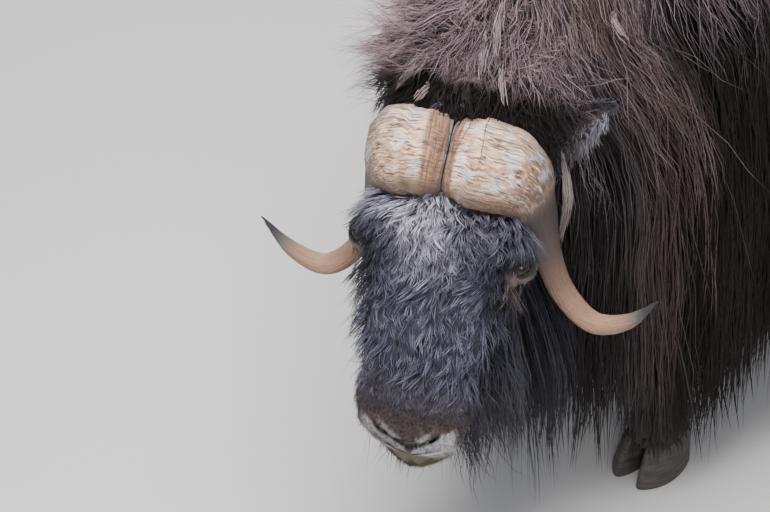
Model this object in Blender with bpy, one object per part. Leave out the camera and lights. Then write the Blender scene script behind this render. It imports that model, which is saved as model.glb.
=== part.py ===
"""A bull muskox, life size, standing with its head lowered and turned a little to its left.

Metres, +Z up. The animal faces -Y, so +X is its left, and it stands on the plane z = 0.
The trunk is one turned form with flat, tapered locks of hair rooted in it. It is parted by
thin cuts into neck, shoulders, flanks and haunches. The head is a form of its own, with the
horns, eyes and ears set on it, and each leg ends in a cloven hoof.
"""

import math

import bmesh
import bpy
import mathutils
import numpy as np

# Driving dimensions of the animal
HUMP_TOP = 1.36  # the core of the shoulder hump, under the last 3 cm of hair
LOCK_THICKNESS = 0.026  # height of a lock's ridge
CHEST_LENGTHENING = 0.35  # how much longer the chest's locks are than the flank's
HEM = 0.22  # height of the skirt's tips over the ground
HEAD_LENGTH = 0.568  # poll to nose
EYE_RADIUS = 0.020
HOOF_HEIGHT = 0.078
GAP = 0.0003  # kept between nodes that touch
CUT = 0.00035  # width of the thin cuts that part the trunk
INFLATE = 0.0007  # how far a form is swollen before its neighbour is cut clear of it
BEARD_INFLATE = 0.0004  # the same for the beard, so that it keeps off the head's own socket

# Pose: the poll's place, and how far the head is turned, lowered and tipped
POLL = np.array([0.05, -0.83, 0.93])
HEAD_YAW = math.radians(23.0)
HEAD_PITCH = math.radians(50.0)
HEAD_ROLL = math.radians(-1.0)
NECK_BEND_FROM = -0.40  # the neck leans to the left in front of this y
NECK_BEND = 0.46  # sideways curvature of the neck, 1/m

# The trunk's sections: y, back, belly, level of the widest point, half width
TRUNK = np.array(
    [
        (-0.93, 1.022, 0.86, 0.93, 0.060),
        (-0.87, 1.072, 0.76, 0.91, 0.120),
        (-0.76, 1.150, 0.64, 0.89, 0.176),
        (-0.60, 1.260, 0.53, 0.87, 0.262),
        (-0.40, HUMP_TOP, 0.48, 0.86, 0.345),
        (-0.15, 1.320, 0.46, 0.84, 0.380),
        (0.12, 1.230, 0.45, 0.81, 0.395),
        (0.45, 1.180, 0.46, 0.80, 0.388),
        (0.72, 1.150, 0.49, 0.80, 0.352),
        (0.90, 1.070, 0.54, 0.81, 0.280),
        (1.00, 0.975, 0.62, 0.81, 0.190),
        (1.045, 0.88, 0.72, 0.80, 0.080),
    ]
)
TRUNK_EXPONENT = 2.3
DOMES_AT = (-0.87, 0.98)  # the y at which the trunk's ends begin to close
DOME_DEPTH = 0.070

# The head's sections in its own frame, nose towards -y: y, half width, top, bottom
HEAD = np.array(
    [
        (0.06, 0.085, 0.065, -0.120),
        (0.01, 0.110, 0.098, -0.165),
        (-0.07, 0.124, 0.114, -0.195),
        (-0.16, 0.130, 0.116, -0.202),
        (-0.25, 0.128, 0.109, -0.184),
        (-0.33, 0.119, 0.098, -0.160),
        (-0.41, 0.104, 0.084, -0.138),
        (-0.47, 0.096, 0.068, -0.126),
        (-0.515, 0.090, 0.044, -0.116),
        (-0.548, 0.075, 0.012, -0.098),
        (-HEAD_LENGTH, 0.036, -0.022, -0.066),
    ]
)
EYE = np.array([0.130, -0.240, 0.054])
GAZE = np.array([0.78, -0.30, 0.55])  # the way out of the left eye
NOSTRIL = np.array([0.043, -0.530, 0.024])
NOSTRIL_SLANT = math.radians(45)  # the slit runs forwards and inwards
MOUTH_LEVEL = -0.062
CHIN_FROM = -0.38  # the beard is shorter in front of this y
CHIN_SHARE = 0.65
BROW = 0.020  # how far the eye sockets stand out from the head's sides
LIP_REACH = 0.026  # how far the lower lip stands in front of the nose

# The left horn's middle line in the head's frame, from the groove to the tip
HORN_LINE = np.array(
    [
        (0.004, -0.100, 0.132),
        (0.045, -0.102, 0.140),
        (0.092, -0.107, 0.122),
        (0.128, -0.126, 0.080),
        (0.144, -0.165, 0.012),
        (0.152, -0.216, -0.054),
        (0.180, -0.270, -0.110),
        (0.232, -0.306, -0.140),
        (0.290, -0.292, -0.122),
        (0.338, -0.250, -0.072),
    ]
)
GROOVE = 0.006  # width of the groove between the two bosses
# Half breadth along the head and half thickness at those points
HORN_BREADTH = np.array([0.068, 0.078, 0.078, 0.056, 0.036, 0.028, 0.022, 0.019, 0.014, 0.002])
HORN_THICKNESS = np.array([0.022, 0.034, 0.035, 0.019, 0.012, 0.0125, 0.015, 0.016, 0.012, 0.002])

# The left ear stands out to the side, and the right one is laid back against the neck
EAR_BASE = {1: np.array([0.116, -0.026, 0.036]), -1: np.array([0.114, 0.000, 0.025])}
EAR_TIP = {1: np.array([0.224, 0.040, 0.040]), -1: np.array([0.176, 0.098, 0.000])}
# Hair that hangs from the ears: share of the ear's length, and how far it hangs. The right
# ear's is lost in the mane, but for one lock.
EAR_FRINGE = {1: ((0.15, 0.15), (0.45, 0.10), (0.72, 0.06)), -1: ((0.5, 0.05),)}
EAR_HALF_WIDTH = 0.031

# Feet on the ground: name, x, y, hoof half width, hoof half length
FEET = {
    "front_left": (0.200, -0.490, 0.062, 0.064),
    "front_right": (-0.195, -0.470, 0.062, 0.064),
    "rear_left": (0.195, 0.700, 0.052, 0.056),
    "rear_right": (-0.195, 0.800, 0.052, 0.056),
}

COLOURS = {
    "coat": (0.050, 0.036, 0.030),
    "face": (0.085, 0.082, 0.095),
    "horn": (0.480, 0.360, 0.270),
    "eye": (0.020, 0.012, 0.010),
    "ear": (0.070, 0.066, 0.075),
    "leg": (0.300, 0.250, 0.190),
    "hoof": (0.055, 0.045, 0.040),
}
ROUGHNESS = {"eye": 0.1, "horn": 0.5, "hoof": 0.6}
RANDOM = np.random.default_rng(5)


# Curves and frames


def smooth(knots, values, at):
    """A cubic Hermite curve through the values at the knots, read at any places."""
    slopes = np.gradient(values, knots)
    at = np.clip(at, knots[0], knots[-1])
    k = np.clip(np.searchsorted(knots, at) - 1, 0, len(knots) - 2)
    step = knots[k + 1] - knots[k]
    t = (at - knots[k]) / step
    return (
        (2 * t**3 - 3 * t**2 + 1) * values[k]
        + (t**3 - 2 * t**2 + t) * step * slopes[k]
        + (3 * t**2 - 2 * t**3) * values[k + 1]
        + (t**3 - t**2) * step * slopes[k + 1]
    )


def along(points, at):
    """A smooth curve through 3-D points, read at shares of their count from 0 to 1."""
    knots = np.linspace(0.0, 1.0, len(points))
    return np.stack([smooth(knots, points[:, i], at) for i in range(3)], axis=-1)


def unit(v):
    """Vectors scaled to length 1."""
    return v / np.maximum(np.linalg.norm(v, axis=-1, keepdims=True), 1e-9)


def power(value, exponent):
    """A signed power, which rounds or squares the corners of a section."""
    return np.sign(value) * np.abs(value) ** exponent


def head_matrix():
    """Turns the head's own frame into the animal's: tipped, lowered, then turned."""
    c, s = math.cos(HEAD_PITCH), math.sin(HEAD_PITCH)
    lower = np.array([[1, 0, 0], [0, c, -s], [0, s, c]])
    c, s = math.cos(HEAD_YAW), math.sin(HEAD_YAW)
    turn = np.array([[c, -s, 0], [s, c, 0], [0, 0, 1]])
    c, s = math.cos(-HEAD_ROLL), math.sin(-HEAD_ROLL)
    tip = np.array([[c, 0, s], [0, 1, 0], [-s, 0, c]])
    return turn @ lower @ tip


HEAD_TURN = head_matrix()


def posed(points):
    """Points of the head's frame in the animal's frame."""
    return np.asarray(points, float) @ HEAD_TURN.T + POLL


def mirrored(points):
    """The same points on the head's other side."""
    return np.asarray(points, float) * np.array([-1.0, 1.0, 1.0])


# Meshes


def solid(name, points, faces):
    """A closed mesh object with its faces turned outwards."""
    mesh = bpy.data.meshes.new(name)
    mesh.from_pydata(np.asarray(points, float).tolist(), [], faces)
    work = bmesh.new()
    work.from_mesh(mesh)
    bmesh.ops.recalc_face_normals(work, faces=work.faces)
    if work.calc_volume(signed=True) < 0:
        bmesh.ops.reverse_faces(work, faces=work.faces)
    work.to_mesh(mesh)
    work.free()
    made = bpy.data.objects.new(name, mesh)
    bpy.context.scene.collection.objects.link(made)
    return made


def skinned_rings(name, rings):
    """Closes a row of rings of points into a solid, with a fan at each end."""
    rings = np.asarray(rings, float)
    count, sides = rings.shape[:2]
    points = [*rings.reshape(-1, 3), rings[0].mean(axis=0), rings[-1].mean(axis=0)]
    faces = []
    for i in range(count - 1):
        for j in range(sides):
            k = (j + 1) % sides
            low, high = i * sides, (i + 1) * sides
            faces.append((low + j, low + k, high + k))
            faces.append((low + j, high + k, high + j))
    first, last = count * sides, count * sides + 1
    end = (count - 1) * sides
    faces += [(first, (j + 1) % sides, j) for j in range(sides)]
    faces += [(last, end + j, end + (j + 1) % sides) for j in range(sides)]
    return solid(name, points, faces)


def ellipsoid(name, centre, radii, sides=12, rows=8, turn=None):
    """A closed egg form, turned by a 3x3 matrix where one is given."""
    rise = np.linspace(-math.pi / 2, math.pi / 2, rows + 2)[1:-1]
    round_ = np.linspace(0, 2 * math.pi, sides, endpoint=False)
    rings = np.stack(
        [
            np.cos(rise)[:, None] * np.cos(round_) * radii[0],
            np.cos(rise)[:, None] * np.sin(round_) * radii[1],
            np.sin(rise)[:, None] * np.ones(sides) * radii[2],
        ],
        axis=-1,
    )
    turn = np.eye(3) if turn is None else turn
    made = skinned_rings(name, rings)
    poles = {rows * sides: (0, 0, -radii[2]), rows * sides + 1: (0, 0, radii[2])}
    for index, place in poles.items():
        made.data.vertices[index].co = place
    points = np.array([v.co[:] for v in made.data.vertices]) @ np.asarray(turn).T + centre
    made.data.vertices.foreach_set("co", points.ravel())
    return made


def block(name, low, high):
    """An axis-aligned box, used to part the trunk."""
    x, y, z = zip(low, high)
    points = [(x[i], y[j], z[k]) for i in (0, 1) for j in (0, 1) for k in (0, 1)]
    faces = [(0, 1, 3, 2), (4, 6, 7, 5), (0, 4, 5, 1), (2, 3, 7, 6), (0, 2, 6, 4), (1, 5, 7, 3)]
    return solid(name, points, faces)


def swollen(source, distance):
    """A copy of a solid with its faces pushed out by a distance, to cut a neighbour clear.
    Each vertex moves so that it lies that far in front of all its faces, as near as it can."""
    copy = source.copy()
    copy.data = source.data.copy()
    bpy.context.scene.collection.objects.link(copy)
    work = bmesh.new()
    work.from_mesh(copy.data)
    moves = []
    for vertex in work.verts:
        normals = np.array([face.normal[:] for face in vertex.link_faces])
        system = normals.T @ normals + 0.02 * np.eye(3)
        move = np.linalg.solve(system, normals.sum(axis=0) * distance)
        length = np.linalg.norm(move)
        moves.append(move * min(1.0, 4 * distance / max(length, 1e-12)))
    for vertex, move in zip(work.verts, moves):
        vertex.co += mathutils.Vector(move)
    work.to_mesh(copy.data)
    work.free()
    return copy


def combine(target, operation, others, solver="MANIFOLD"):
    """Joins others to the target or cuts them from it, applies the result and removes them."""
    helpers = bpy.data.collections.new("helpers")
    bpy.context.scene.collection.children.link(helpers)
    for other in others:
        helpers.objects.link(other)
        bpy.context.scene.collection.objects.unlink(other)
    modifier = target.modifiers.new(operation.lower(), "BOOLEAN")
    modifier.operation = operation
    modifier.operand_type = "COLLECTION"
    modifier.collection = helpers
    modifier.solver = solver
    graph = bpy.context.evaluated_depsgraph_get()
    made = bpy.data.meshes.new_from_object(target.evaluated_get(graph))
    target.modifiers.clear()
    target.data = made
    for other in others:
        bpy.data.objects.remove(other)
    bpy.data.collections.remove(helpers)
    return target


def keep_largest(target):
    """Leaves only the largest closed surface, and prints what was dropped."""
    work = bmesh.new()
    work.from_mesh(target.data)
    bmesh.ops.triangulate(work, faces=work.faces)
    unseen, shells = set(work.faces), []
    while unseen:
        stack, shell = [unseen.pop()], []
        while stack:
            face = stack.pop()
            shell.append(face)
            for edge in face.edges:
                for other in edge.link_faces:
                    if other in unseen:
                        unseen.remove(other)
                        stack.append(other)
        shells.append(shell)
    volumes = [
        abs(sum(f.verts[0].co.dot(f.verts[1].co.cross(f.verts[2].co)) for f in shell)) / 6
        for shell in shells
    ]
    largest = int(np.argmax(volumes))
    dropped = [f for i, shell in enumerate(shells) if i != largest for f in shell]
    lost = sum(volumes) - volumes[largest]
    bmesh.ops.delete(work, geom=dropped, context="FACES")
    work.to_mesh(target.data)
    work.free()
    print(target.name, "kept", len(target.data.polygons), "dropped", len(dropped), f"{lost * 1e6:.1f} ml")
    return target


# The trunk


def trunk_shift(y):
    """How far the neck leans to the left at y: a parabola in front of the hump."""
    return 0.5 * NECK_BEND * np.maximum(NECK_BEND_FROM - y, 0.0) ** 2


def trunk_section(y):
    """The section's middle x, its widest level, half width, height above and depth below."""
    back, belly, level, half = (smooth(TRUNK[:, 0], TRUNK[:, i], y) for i in (1, 2, 3, 4))
    return trunk_shift(y), level, half, back - level, level - belly


def trunk_point(y, angle):
    """The trunk's core at y, with the angle 0 on the back and pi / 2 on the left side."""
    middle, level, half, up, down = trunk_section(y)
    across = power(np.sin(angle), 2 / TRUNK_EXPONENT)
    rise = power(np.cos(angle), 2 / TRUNK_EXPONENT)
    height = np.where(rise > 0, up, down) * rise
    return np.stack(np.broadcast_arrays(middle + half * across, y, level + height), axis=-1)


def trunk_reach(points):
    """How far out points lie, 1 on the core. The two ends are taken as round domes."""
    first, last = DOMES_AT
    beyond = np.maximum(np.maximum(first - points[..., 1], points[..., 1] - last), 0)
    middle, level, half, up, down = trunk_section(np.clip(points[..., 1], first, last))
    x = points[..., 0] - middle
    z = points[..., 2] - level
    tall = np.where(z > 0, up, down)
    n = TRUNK_EXPONENT
    reach = (np.abs(x / half) ** n + np.abs(z / tall) ** n) ** (1 / n)
    return np.hypot(reach, beyond / DOME_DEPTH)


def trunk_normal(points):
    """The height of points over the core, in metres, and the outward direction there."""
    step = 0.006
    slope = np.stack(
        [trunk_reach(points + step * axis) - trunk_reach(points - step * axis) for axis in np.eye(3)],
        axis=-1,
    ) / (2 * step)
    steep = np.maximum(np.linalg.norm(slope, axis=-1), 1e-3)
    return (trunk_reach(points) - 1) / steep, unit(slope)


def lie(points, outward):
    """The direction in which the coat lies: forwards over the neck, backwards over the back,
    down the sides, and straight down where it hangs free."""
    y = points[..., 1]
    knots = np.array([-0.95, -0.62, -0.42, -0.15, 0.40, 1.00])
    on_top = smooth(knots, np.array([-2.6, -1.9, -0.3, 1.3, 1.7, 1.8]), y)
    on_side = smooth(knots, np.array([-0.25, -0.05, 0.05, 0.14, 0.16, 0.24]), y)
    upward = np.clip(outward[..., 2], 0.0, 1.0)
    side = np.where(points[..., 0] >= trunk_shift(y), 1.0, -1.0)
    wish = np.stack([side * upward, on_side + (on_top - on_side) * upward**1.5, -1 + 0 * y], -1)
    flow = unit(wish - np.sum(wish * outward, axis=-1, keepdims=True) * outward)
    hanging = np.clip((0.30 - outward[..., 2]) / 0.5, 0.0, 1.0)[..., None]
    fall = np.array([0.0, 0.06, -1.0])
    return unit(flow * (1 - hanging) + fall * hanging)


def draped(roots, lengths, heights, steps=3, sunk=0.022):
    """Paths of locks that start inside the core, follow the lie of the coat and hang where
    nothing carries them. They end at the given heights over the core. Shape: steps + 1."""
    outward = trunk_normal(roots)[1]
    path = [roots - outward * sunk]
    place = roots + outward * heights * 0.2
    for i in range(steps):
        outward = trunk_normal(place)[1]
        place = place + lie(place, outward) * (lengths / steps)[:, None]
        for _ in range(2):
            height, outward = trunk_normal(place)
            lift = heights[:, 0] * (0.50 + 0.50 * (i + 1) / steps)
            place = place + outward * np.maximum(lift - height, 0)[:, None]
        place[:, 2] = np.maximum(place[:, 2], HEM)
        path.append(place)
    return np.stack(path, axis=1)


# Locks of hair


def lock(name, path, outward, half_width, thickness):
    """A flat lock along a path: a low triangular ridge that tapers to a point."""
    path = np.asarray(path, float)
    count = len(path)
    ahead = unit(np.gradient(path, axis=0))
    across = unit(np.cross(ahead, outward))
    over = unit(np.cross(across, ahead))
    share = np.linspace(0.0, 1.0, count)[:-1]
    width = half_width * np.interp(share, [0, 0.25, 0.6, 1.0], [0.75, 1.0, 0.85, 0.25])
    high = thickness * np.interp(share, [0, 0.3, 1.0], [1.0, 1.0, 0.45])
    points = []
    for i in range(count - 1):
        points += [
            path[i] - across[i] * width[i],
            path[i] + over[i] * high[i],
            path[i] + across[i] * width[i],
        ]
    points.append(path[-1])
    faces = [(0, 1, 2)]
    for i in range(count - 2):
        for j in range(3):
            k = (j + 1) % 3
            faces.append((3 * i + j, 3 * i + 3 + j, 3 * i + 3 + k))
            faces.append((3 * i + j, 3 * i + 3 + k, 3 * i + k))
    tip, last = 3 * (count - 1), 3 * (count - 2)
    faces += [(last + j, tip, last + (j + 1) % 3) for j in range(3)]
    return solid(name, points, faces)


# Rows of the coat: angle from the back, first and last y, spacing, length, half width, height
# over the core, and how many straight lengths make the lock's bend
COAT_ROWS = (
    (12, -0.89, 0.92, 0.215, 0.30, 0.104, 0.024, 2),
    (36, -0.89, 0.96, 0.215, 0.34, 0.104, 0.026, 3),
    (60, -0.86, 0.99, 0.205, 0.44, 0.100, 0.032, 3),
    (84, -0.82, 1.00, 0.200, 0.50, 0.100, 0.040, 3),
    (108, -0.80, 0.98, 0.190, 0.50, 0.096, 0.044, 3),
    (140, -0.76, 0.94, 0.215, 0.40, 0.096, 0.030, 3),
    (168, -0.80, -0.40, 0.170, 0.36, 0.084, 0.024, 3),
)
# Locks that hang over the rump's end: y, angle from the back, length
RUMP_LOCKS = (
    (1.000, 14, 0.46),
    (1.020, 50, 0.56),
    (1.010, 92, 0.52),
    (1.040, 105, 0.56),
)


def row_of_locks(y, angle, lengths, heights, half_width, steps):
    """Locks rooted at the places y and angle on the core, each with its own length."""
    made = []
    paths = draped(trunk_point(y, angle), lengths, heights[:, None], steps)
    thick = LOCK_THICKNESS * RANDOM.uniform(0.85, 1.15, len(y))
    for path, high, width in zip(paths, thick, half_width):
        made.append(lock("lock", path, trunk_normal(path)[1], width, high))
    return made


def coat_locks():
    """Staggered rows of locks over both sides of the trunk, from the mane to the rump."""
    made = []
    for row, (degrees, first, last, spacing, length, half_width, height, steps) in enumerate(COAT_ROWS):
        for side in (-1, 1):
            places = np.arange(first + spacing * 0.5 * (row % 2), last, spacing)
            count = len(places)
            y = places + RANDOM.uniform(-0.2, 0.2, count) * spacing
            y = np.clip(y, TRUNK[0, 0] + 0.02, TRUNK[-1, 0] - 0.008)
            angle = np.radians(degrees + RANDOM.uniform(-5, 5, count)) * side
            scale = np.interp(y, [-0.90, -0.75, -0.55], [0.36, 0.62, 1.0])
            scale = scale + (1 - scale) * min(degrees / 130, 1.0) ** 2
            chest = (degrees > 75) * np.exp(-(((y + 0.55) / 0.25) ** 2))
            lengths = length * (scale + CHEST_LENGTHENING * chest) * RANDOM.uniform(0.86, 1.12, count)
            heights = height * RANDOM.uniform(0.8, 1.15, count)
            widths = half_width * (0.45 + 0.55 * scale)
            made += row_of_locks(y, angle, lengths, heights, widths, steps)
    y, degrees, length = np.array(RUMP_LOCKS).T
    for side in (-1, 1):
        count = len(y)
        angle = np.radians(degrees + RANDOM.uniform(-4, 4, count)) * side
        lengths = length * RANDOM.uniform(0.9, 1.1, count)
        made += row_of_locks(y, angle, lengths, np.full(count, 0.03), np.full(count, 0.09), 3)
    return made


# The head


def head_point(y, angle):
    """The head's surface in its own frame, with the angle 0 on top and pi / 2 on the left.
    Brows swell round the eyes, the jaw narrows below, and the lips and nose stand proud."""
    half, top, bottom = (smooth(-HEAD[:, 0], HEAD[:, i], -y) for i in (1, 2, 3))
    level = 0.35 * top
    x = half * power(np.sin(angle), 2 / 2.5)
    rise = power(np.cos(angle), 2 / 2.3)
    z = level + np.where(rise > 0, top - level, level - bottom) * rise
    jaw = np.clip((level - z) / np.maximum(level - bottom, 1e-3), 0, 1)
    x = x * (1 - 0.34 * jaw**1.6)
    points = np.stack(np.broadcast_arrays(x, y, z), axis=-1)
    for side in (-1, 1):
        mirror = np.array([side, 1, 1])
        brow = np.exp(-np.sum(((points - EYE * mirror) / [0.05, 0.048, 0.040]) ** 2, axis=-1))
        points = points + brow[..., None] * np.array([BROW * side, -0.002, 0.005])
        wing = np.exp(-np.sum(((points - NOSTRIL * mirror) / [0.022, 0.03, 0.020]) ** 2, axis=-1))
        points = points + wing[..., None] * np.array([0.004 * side, -0.004, 0.005])
    front = np.clip((-y - 0.42) / 0.10, 0, 1)
    slope = np.clip((-0.01 - points[..., 2]) / 0.08, 0, 1)
    points = points + (front * slope)[..., None] * np.array([0, -LIP_REACH, 0])
    lips = np.exp(-(((points[..., 2] - MOUTH_LEVEL) / 0.020) ** 2))
    lips = lips * np.clip((-y - 0.40) / 0.1, 0, 1)
    return points + lips[..., None] * (points * [0.05, 0, 0] + [0, -0.004, 0])


def head_core():
    """The head as rings from the neck to the nose, closer together at the muzzle."""
    y = np.concatenate([np.linspace(0.06, -0.42, 9), np.linspace(-0.455, -HEAD_LENGTH, 7)])
    angle = np.linspace(0, 2 * math.pi, 20, endpoint=False)
    rings = head_point(y[:, None], angle[None, :])
    return skinned_rings("head", posed(rings))


def lids(side):
    """A raised rim round the eye: an almond of small rings on the swollen brow."""
    face = unit(GAZE * [side, 1, 1])
    centre = EYE * [side, 1, 1] + face * EYE_RADIUS * 0.60
    along_eye = unit(np.cross(face, [0.0, 0.35, 1.0]))
    over_eye = np.cross(along_eye, face)
    rings = []
    for turn in np.linspace(0, 2 * math.pi, 10, endpoint=False):
        out = along_eye * math.cos(turn) * 1.10 + over_eye * math.sin(turn) * 0.72
        middle = centre + out * EYE_RADIUS * 0.84
        small = np.linspace(0, 2 * math.pi, 5, endpoint=False)
        ring = middle + 0.0050 * (
            unit(out) * np.cos(small)[:, None] + face * 1.8 * np.sin(small)[:, None]
        )
        rings.append(ring)
    rings = np.array(rings)
    faces = []
    for i in range(10):
        for j in range(5):
            a, b = i * 5 + j, i * 5 + (j + 1) % 5
            c, d = (i + 1) % 10 * 5 + (j + 1) % 5, (i + 1) % 10 * 5 + j
            faces += [(a, b, c), (a, c, d)]
    return solid("lids", posed(rings.reshape(-1, 3)), faces)


def mouth_cutter():
    """A thin plate round the muzzle at the lips' level: it cuts the line of the mouth."""
    y = np.array([-0.395, -0.44, -0.48, -0.515, -0.543, -0.562])
    level = MOUTH_LEVEL + 0.10 * (y + 0.55)
    half, top, bottom = (smooth(-HEAD[:, 0], HEAD[:, i], -y) for i in (1, 2, 3))
    inner = half * 0.80
    outer = half * 1.5 + 0.01
    left = np.stack([inner, y + 0.008, level], axis=-1)
    wide = np.stack([outer, y - 0.03 * (y < -0.53), level], axis=-1)
    inner_line = np.concatenate([left, (left * [-1, 1, 1])[::-1]])
    outer_line = np.concatenate([wide, (wide * [-1, 1, 1])[::-1]])
    outer_line[5:7, 1] -= 0.03
    points, faces, count = [], [], len(inner_line)
    for line in (inner_line, outer_line):
        for rise in (-0.0018, 0.0018):
            points += list(line + [0, 0, rise])
    a, b, c, d = (np.arange(count) + count * i for i in range(4))
    for i in range(count - 1):
        for low, high in ((a, b), (b, d), (d, c), (c, a)):
            faces.append((int(low[i]), int(high[i]), int(high[i + 1]), int(low[i + 1])))
    for i in (0, count - 1):
        faces.append((int(a[i]), int(c[i]), int(d[i]), int(b[i])))
    return solid("mouth", posed(points), faces)


def nostril_cutter(side):
    """A slit for one nostril, which runs from its outer corner forwards to the middle."""
    c, s = math.cos(-side * NOSTRIL_SLANT), math.sin(-side * NOSTRIL_SLANT)
    turn = np.array([[c, -s, 0], [s, c, 0], [0, 0, 1]])
    radii = (0.0055, 0.019, 0.016)
    return ellipsoid("nostril", posed(NOSTRIL * [side, 1, 1]), radii, 8, 5, HEAD_TURN @ turn)


def beard_locks():
    """Hair that hangs from the cheeks, jaw and chin: rooted on the head, falling plumb."""
    made = []
    rows = (
        # angle from the top, first y, last y, count, length
        (104, -0.12, -0.34, 3, 0.20),
        (146, -0.14, -0.40, 3, 0.36),
    )
    for degrees, first, last, count, length in rows:
        for side in (-1, 1):
            for y in np.linspace(first, last, count):
                y = y + RANDOM.uniform(-0.012, 0.012)
                angle = math.radians(degrees + RANDOM.uniform(-5, 5)) * side
                root = head_point(np.array([y]), np.array([angle]))[0]
                centre = np.array([0.0, y, -0.03])
                outward = unit((posed(root) - posed(centre)) * np.array([1, 1, 0.4]))
                long = length * RANDOM.uniform(0.85, 1.15) * (CHIN_SHARE if y < CHIN_FROM else 1)
                path = [posed(root) - outward * 0.025]
                flow = unit(outward * 0.7 + HEAD_TURN @ np.array([0, -0.5, 0]) + [0, 0, -0.7])
                for i in range(3):
                    flow = unit(flow * 0.55 + np.array([0, 0.05, -0.6]) + outward * 0.05)
                    path.append(path[-1] + flow * long / 3)
                made.append(lock("lock", path, np.tile(outward, (4, 1)), 0.068, 0.018))
    return made


# Horns, ears and eyes


def horn(name, side):
    """One horn with its boss: a broad pad over the crown that narrows into the hook."""
    at = np.linspace(0, 1, 16)
    knots = np.linspace(0, 1, len(HORN_LINE))
    middle = along(HORN_LINE, at)
    breadth = np.interp(at, knots, HORN_BREADTH)
    thick = np.interp(at, knots, HORN_THICKNESS)
    ahead = unit(np.gradient(middle, axis=0))
    broad = [np.array([0.0, 1.0, 0.0])]
    for direction in ahead:
        broad.append(unit(broad[-1] - direction * np.dot(broad[-1], direction)))
    broad = np.array(broad[1:])
    over = np.cross(broad, ahead)
    angle = np.linspace(0, 2 * math.pi, 10, endpoint=False)
    squareness = 2 / np.interp(at, [0, 0.35, 0.6, 1], [2.6, 2.5, 2.0, 2.0])[:, None]
    rings = (
        middle[:, None]
        + broad[:, None] * (breadth[:, None] * power(np.cos(angle), squareness))[..., None]
        + over[:, None] * (thick[:, None] * power(np.sin(angle), squareness))[..., None]
    )
    rings[0, :, 0] = GROOVE / 2
    rings[1, :, 0] = np.maximum(rings[1, :, 0], GROOVE)
    return skinned_rings(name, posed(rings if side > 0 else mirrored(rings)))


def ear(name, side):
    """A leaf-shaped cup, its hollow turned forwards and out, with a short fringe below."""
    root_place, tip_place = EAR_BASE[side], EAR_TIP[side]
    ahead = unit(tip_place - root_place)
    hollow = unit(np.array([0.25, -0.50, 0.83]))
    hollow = unit(hollow - ahead * np.dot(hollow, ahead))
    across = np.cross(hollow, ahead)
    length = np.linalg.norm(tip_place - root_place)
    t = np.linspace(-0.12, 0.97, 7)
    half = EAR_HALF_WIDTH * np.sqrt(np.clip(1 - ((t - 0.35) / 0.66) ** 2, 0.0, 1)) + 0.003
    half[0] = 0.022
    s = np.linspace(-1, 1, 5)
    base = root_place + ahead * (t * length)[:, None]
    curl = 0.62 * half
    back = (
        base[:, None]
        + across * (half[:, None] * s)[..., None]
        + hollow * (curl[:, None] * (s**2 - 1))[..., None]
    )
    wall = 0.006 * (1.3 - 0.6 * np.abs(s))
    front = back + hollow * np.broadcast_to(wall, back.shape[:2])[..., None]
    rings = np.concatenate([back, front[:, ::-1]], axis=1)
    cup = skinned_rings(name, posed(rings if side > 0 else mirrored(rings)))
    fringe = []
    for share, drop in EAR_FRINGE[side]:
        root = root_place + ahead * share * length - across * EAR_HALF_WIDTH * 0.7
        root = root if side > 0 else mirrored(root)
        down = np.array([0.0, 0.0, -1.0])
        start = posed(root) + np.array([0, 0, 0.012])
        out = HEAD_TURN @ (hollow if side > 0 else mirrored(hollow))
        path = [start + down * drop * i / 3 + out * 0.004 * i for i in range(4)]
        fringe.append(lock("lock", path, np.tile(out, (4, 1)), 0.024, 0.008))
    return keep_largest(combine(cup, "UNION", fringe))


def eyeball(name, side):
    """The eye, sunk in its socket so that only the part between the lids shows."""
    return ellipsoid(name, posed(EYE * [side, 1, 1]), (EYE_RADIUS,) * 3, 12, 6, HEAD_TURN)


# Legs, hooves and tail


def leg(place):
    """A leg from the belly to the hoof: stout above, slender at the cannon, full at the foot."""
    x, y, half_width, half_length = FEET[place]
    front = place.startswith("front")
    side = math.copysign(1, x)
    if front:
        line = [
            (x - 0.05 * side, y + 0.05, 0.62, 0.100, 0.120),
            (x - 0.03 * side, y + 0.03, 0.50, 0.078, 0.090),
            (x - 0.012 * side, y + 0.005, 0.36, 0.060, 0.064),
            (x - 0.004 * side, y + 0.018, 0.24, 0.046, 0.050),
            (x, y + 0.022, 0.14, 0.048, 0.054),
            (x, y + 0.012, HOOF_HEIGHT + 0.012, 0.056, 0.062),
            (x, y + 0.006, HOOF_HEIGHT, 0.050, 0.056),
        ]
    else:
        line = [
            (x - 0.04 * side, y - 0.02, 0.64, 0.105, 0.150),
            (x - 0.02 * side, y + 0.03, 0.52, 0.076, 0.105),
            (x - 0.005 * side, y + 0.085, 0.41, 0.052, 0.066),
            (x, y + 0.070, 0.30, 0.042, 0.048),
            (x, y + 0.045, 0.20, 0.040, 0.046),
            (x, y + 0.020, HOOF_HEIGHT + 0.02, 0.048, 0.054),
            (x, y + 0.008, HOOF_HEIGHT, 0.043, 0.048),
        ]
    line = np.array(line)
    knots = np.linspace(0, 1, len(line))
    at = np.linspace(0, 1, 9)
    middle = np.stack([smooth(knots, line[:, i], at) for i in range(3)], axis=-1)
    middle[-1, 2] = HOOF_HEIGHT + GAP
    wide, long = (smooth(knots, line[:, i], at) for i in (3, 4))
    angle = np.linspace(0, 2 * math.pi, 9, endpoint=False)
    rings = middle[:, None] + np.stack(
        [np.cos(angle) * wide[:, None], np.sin(angle) * long[:, None], 0 * angle * wide[:, None]],
        axis=-1,
    )
    made = skinned_rings("leg_" + place, rings)
    claws = []
    for inner in (-1, 1):
        centre = (x + inner * 0.026, y + half_length + 0.006, HOOF_HEIGHT + 0.022)
        claws.append(ellipsoid("claw", centre, (0.014, 0.019, 0.017), 6, 3))
    return combine(made, "UNION", claws)


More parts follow.
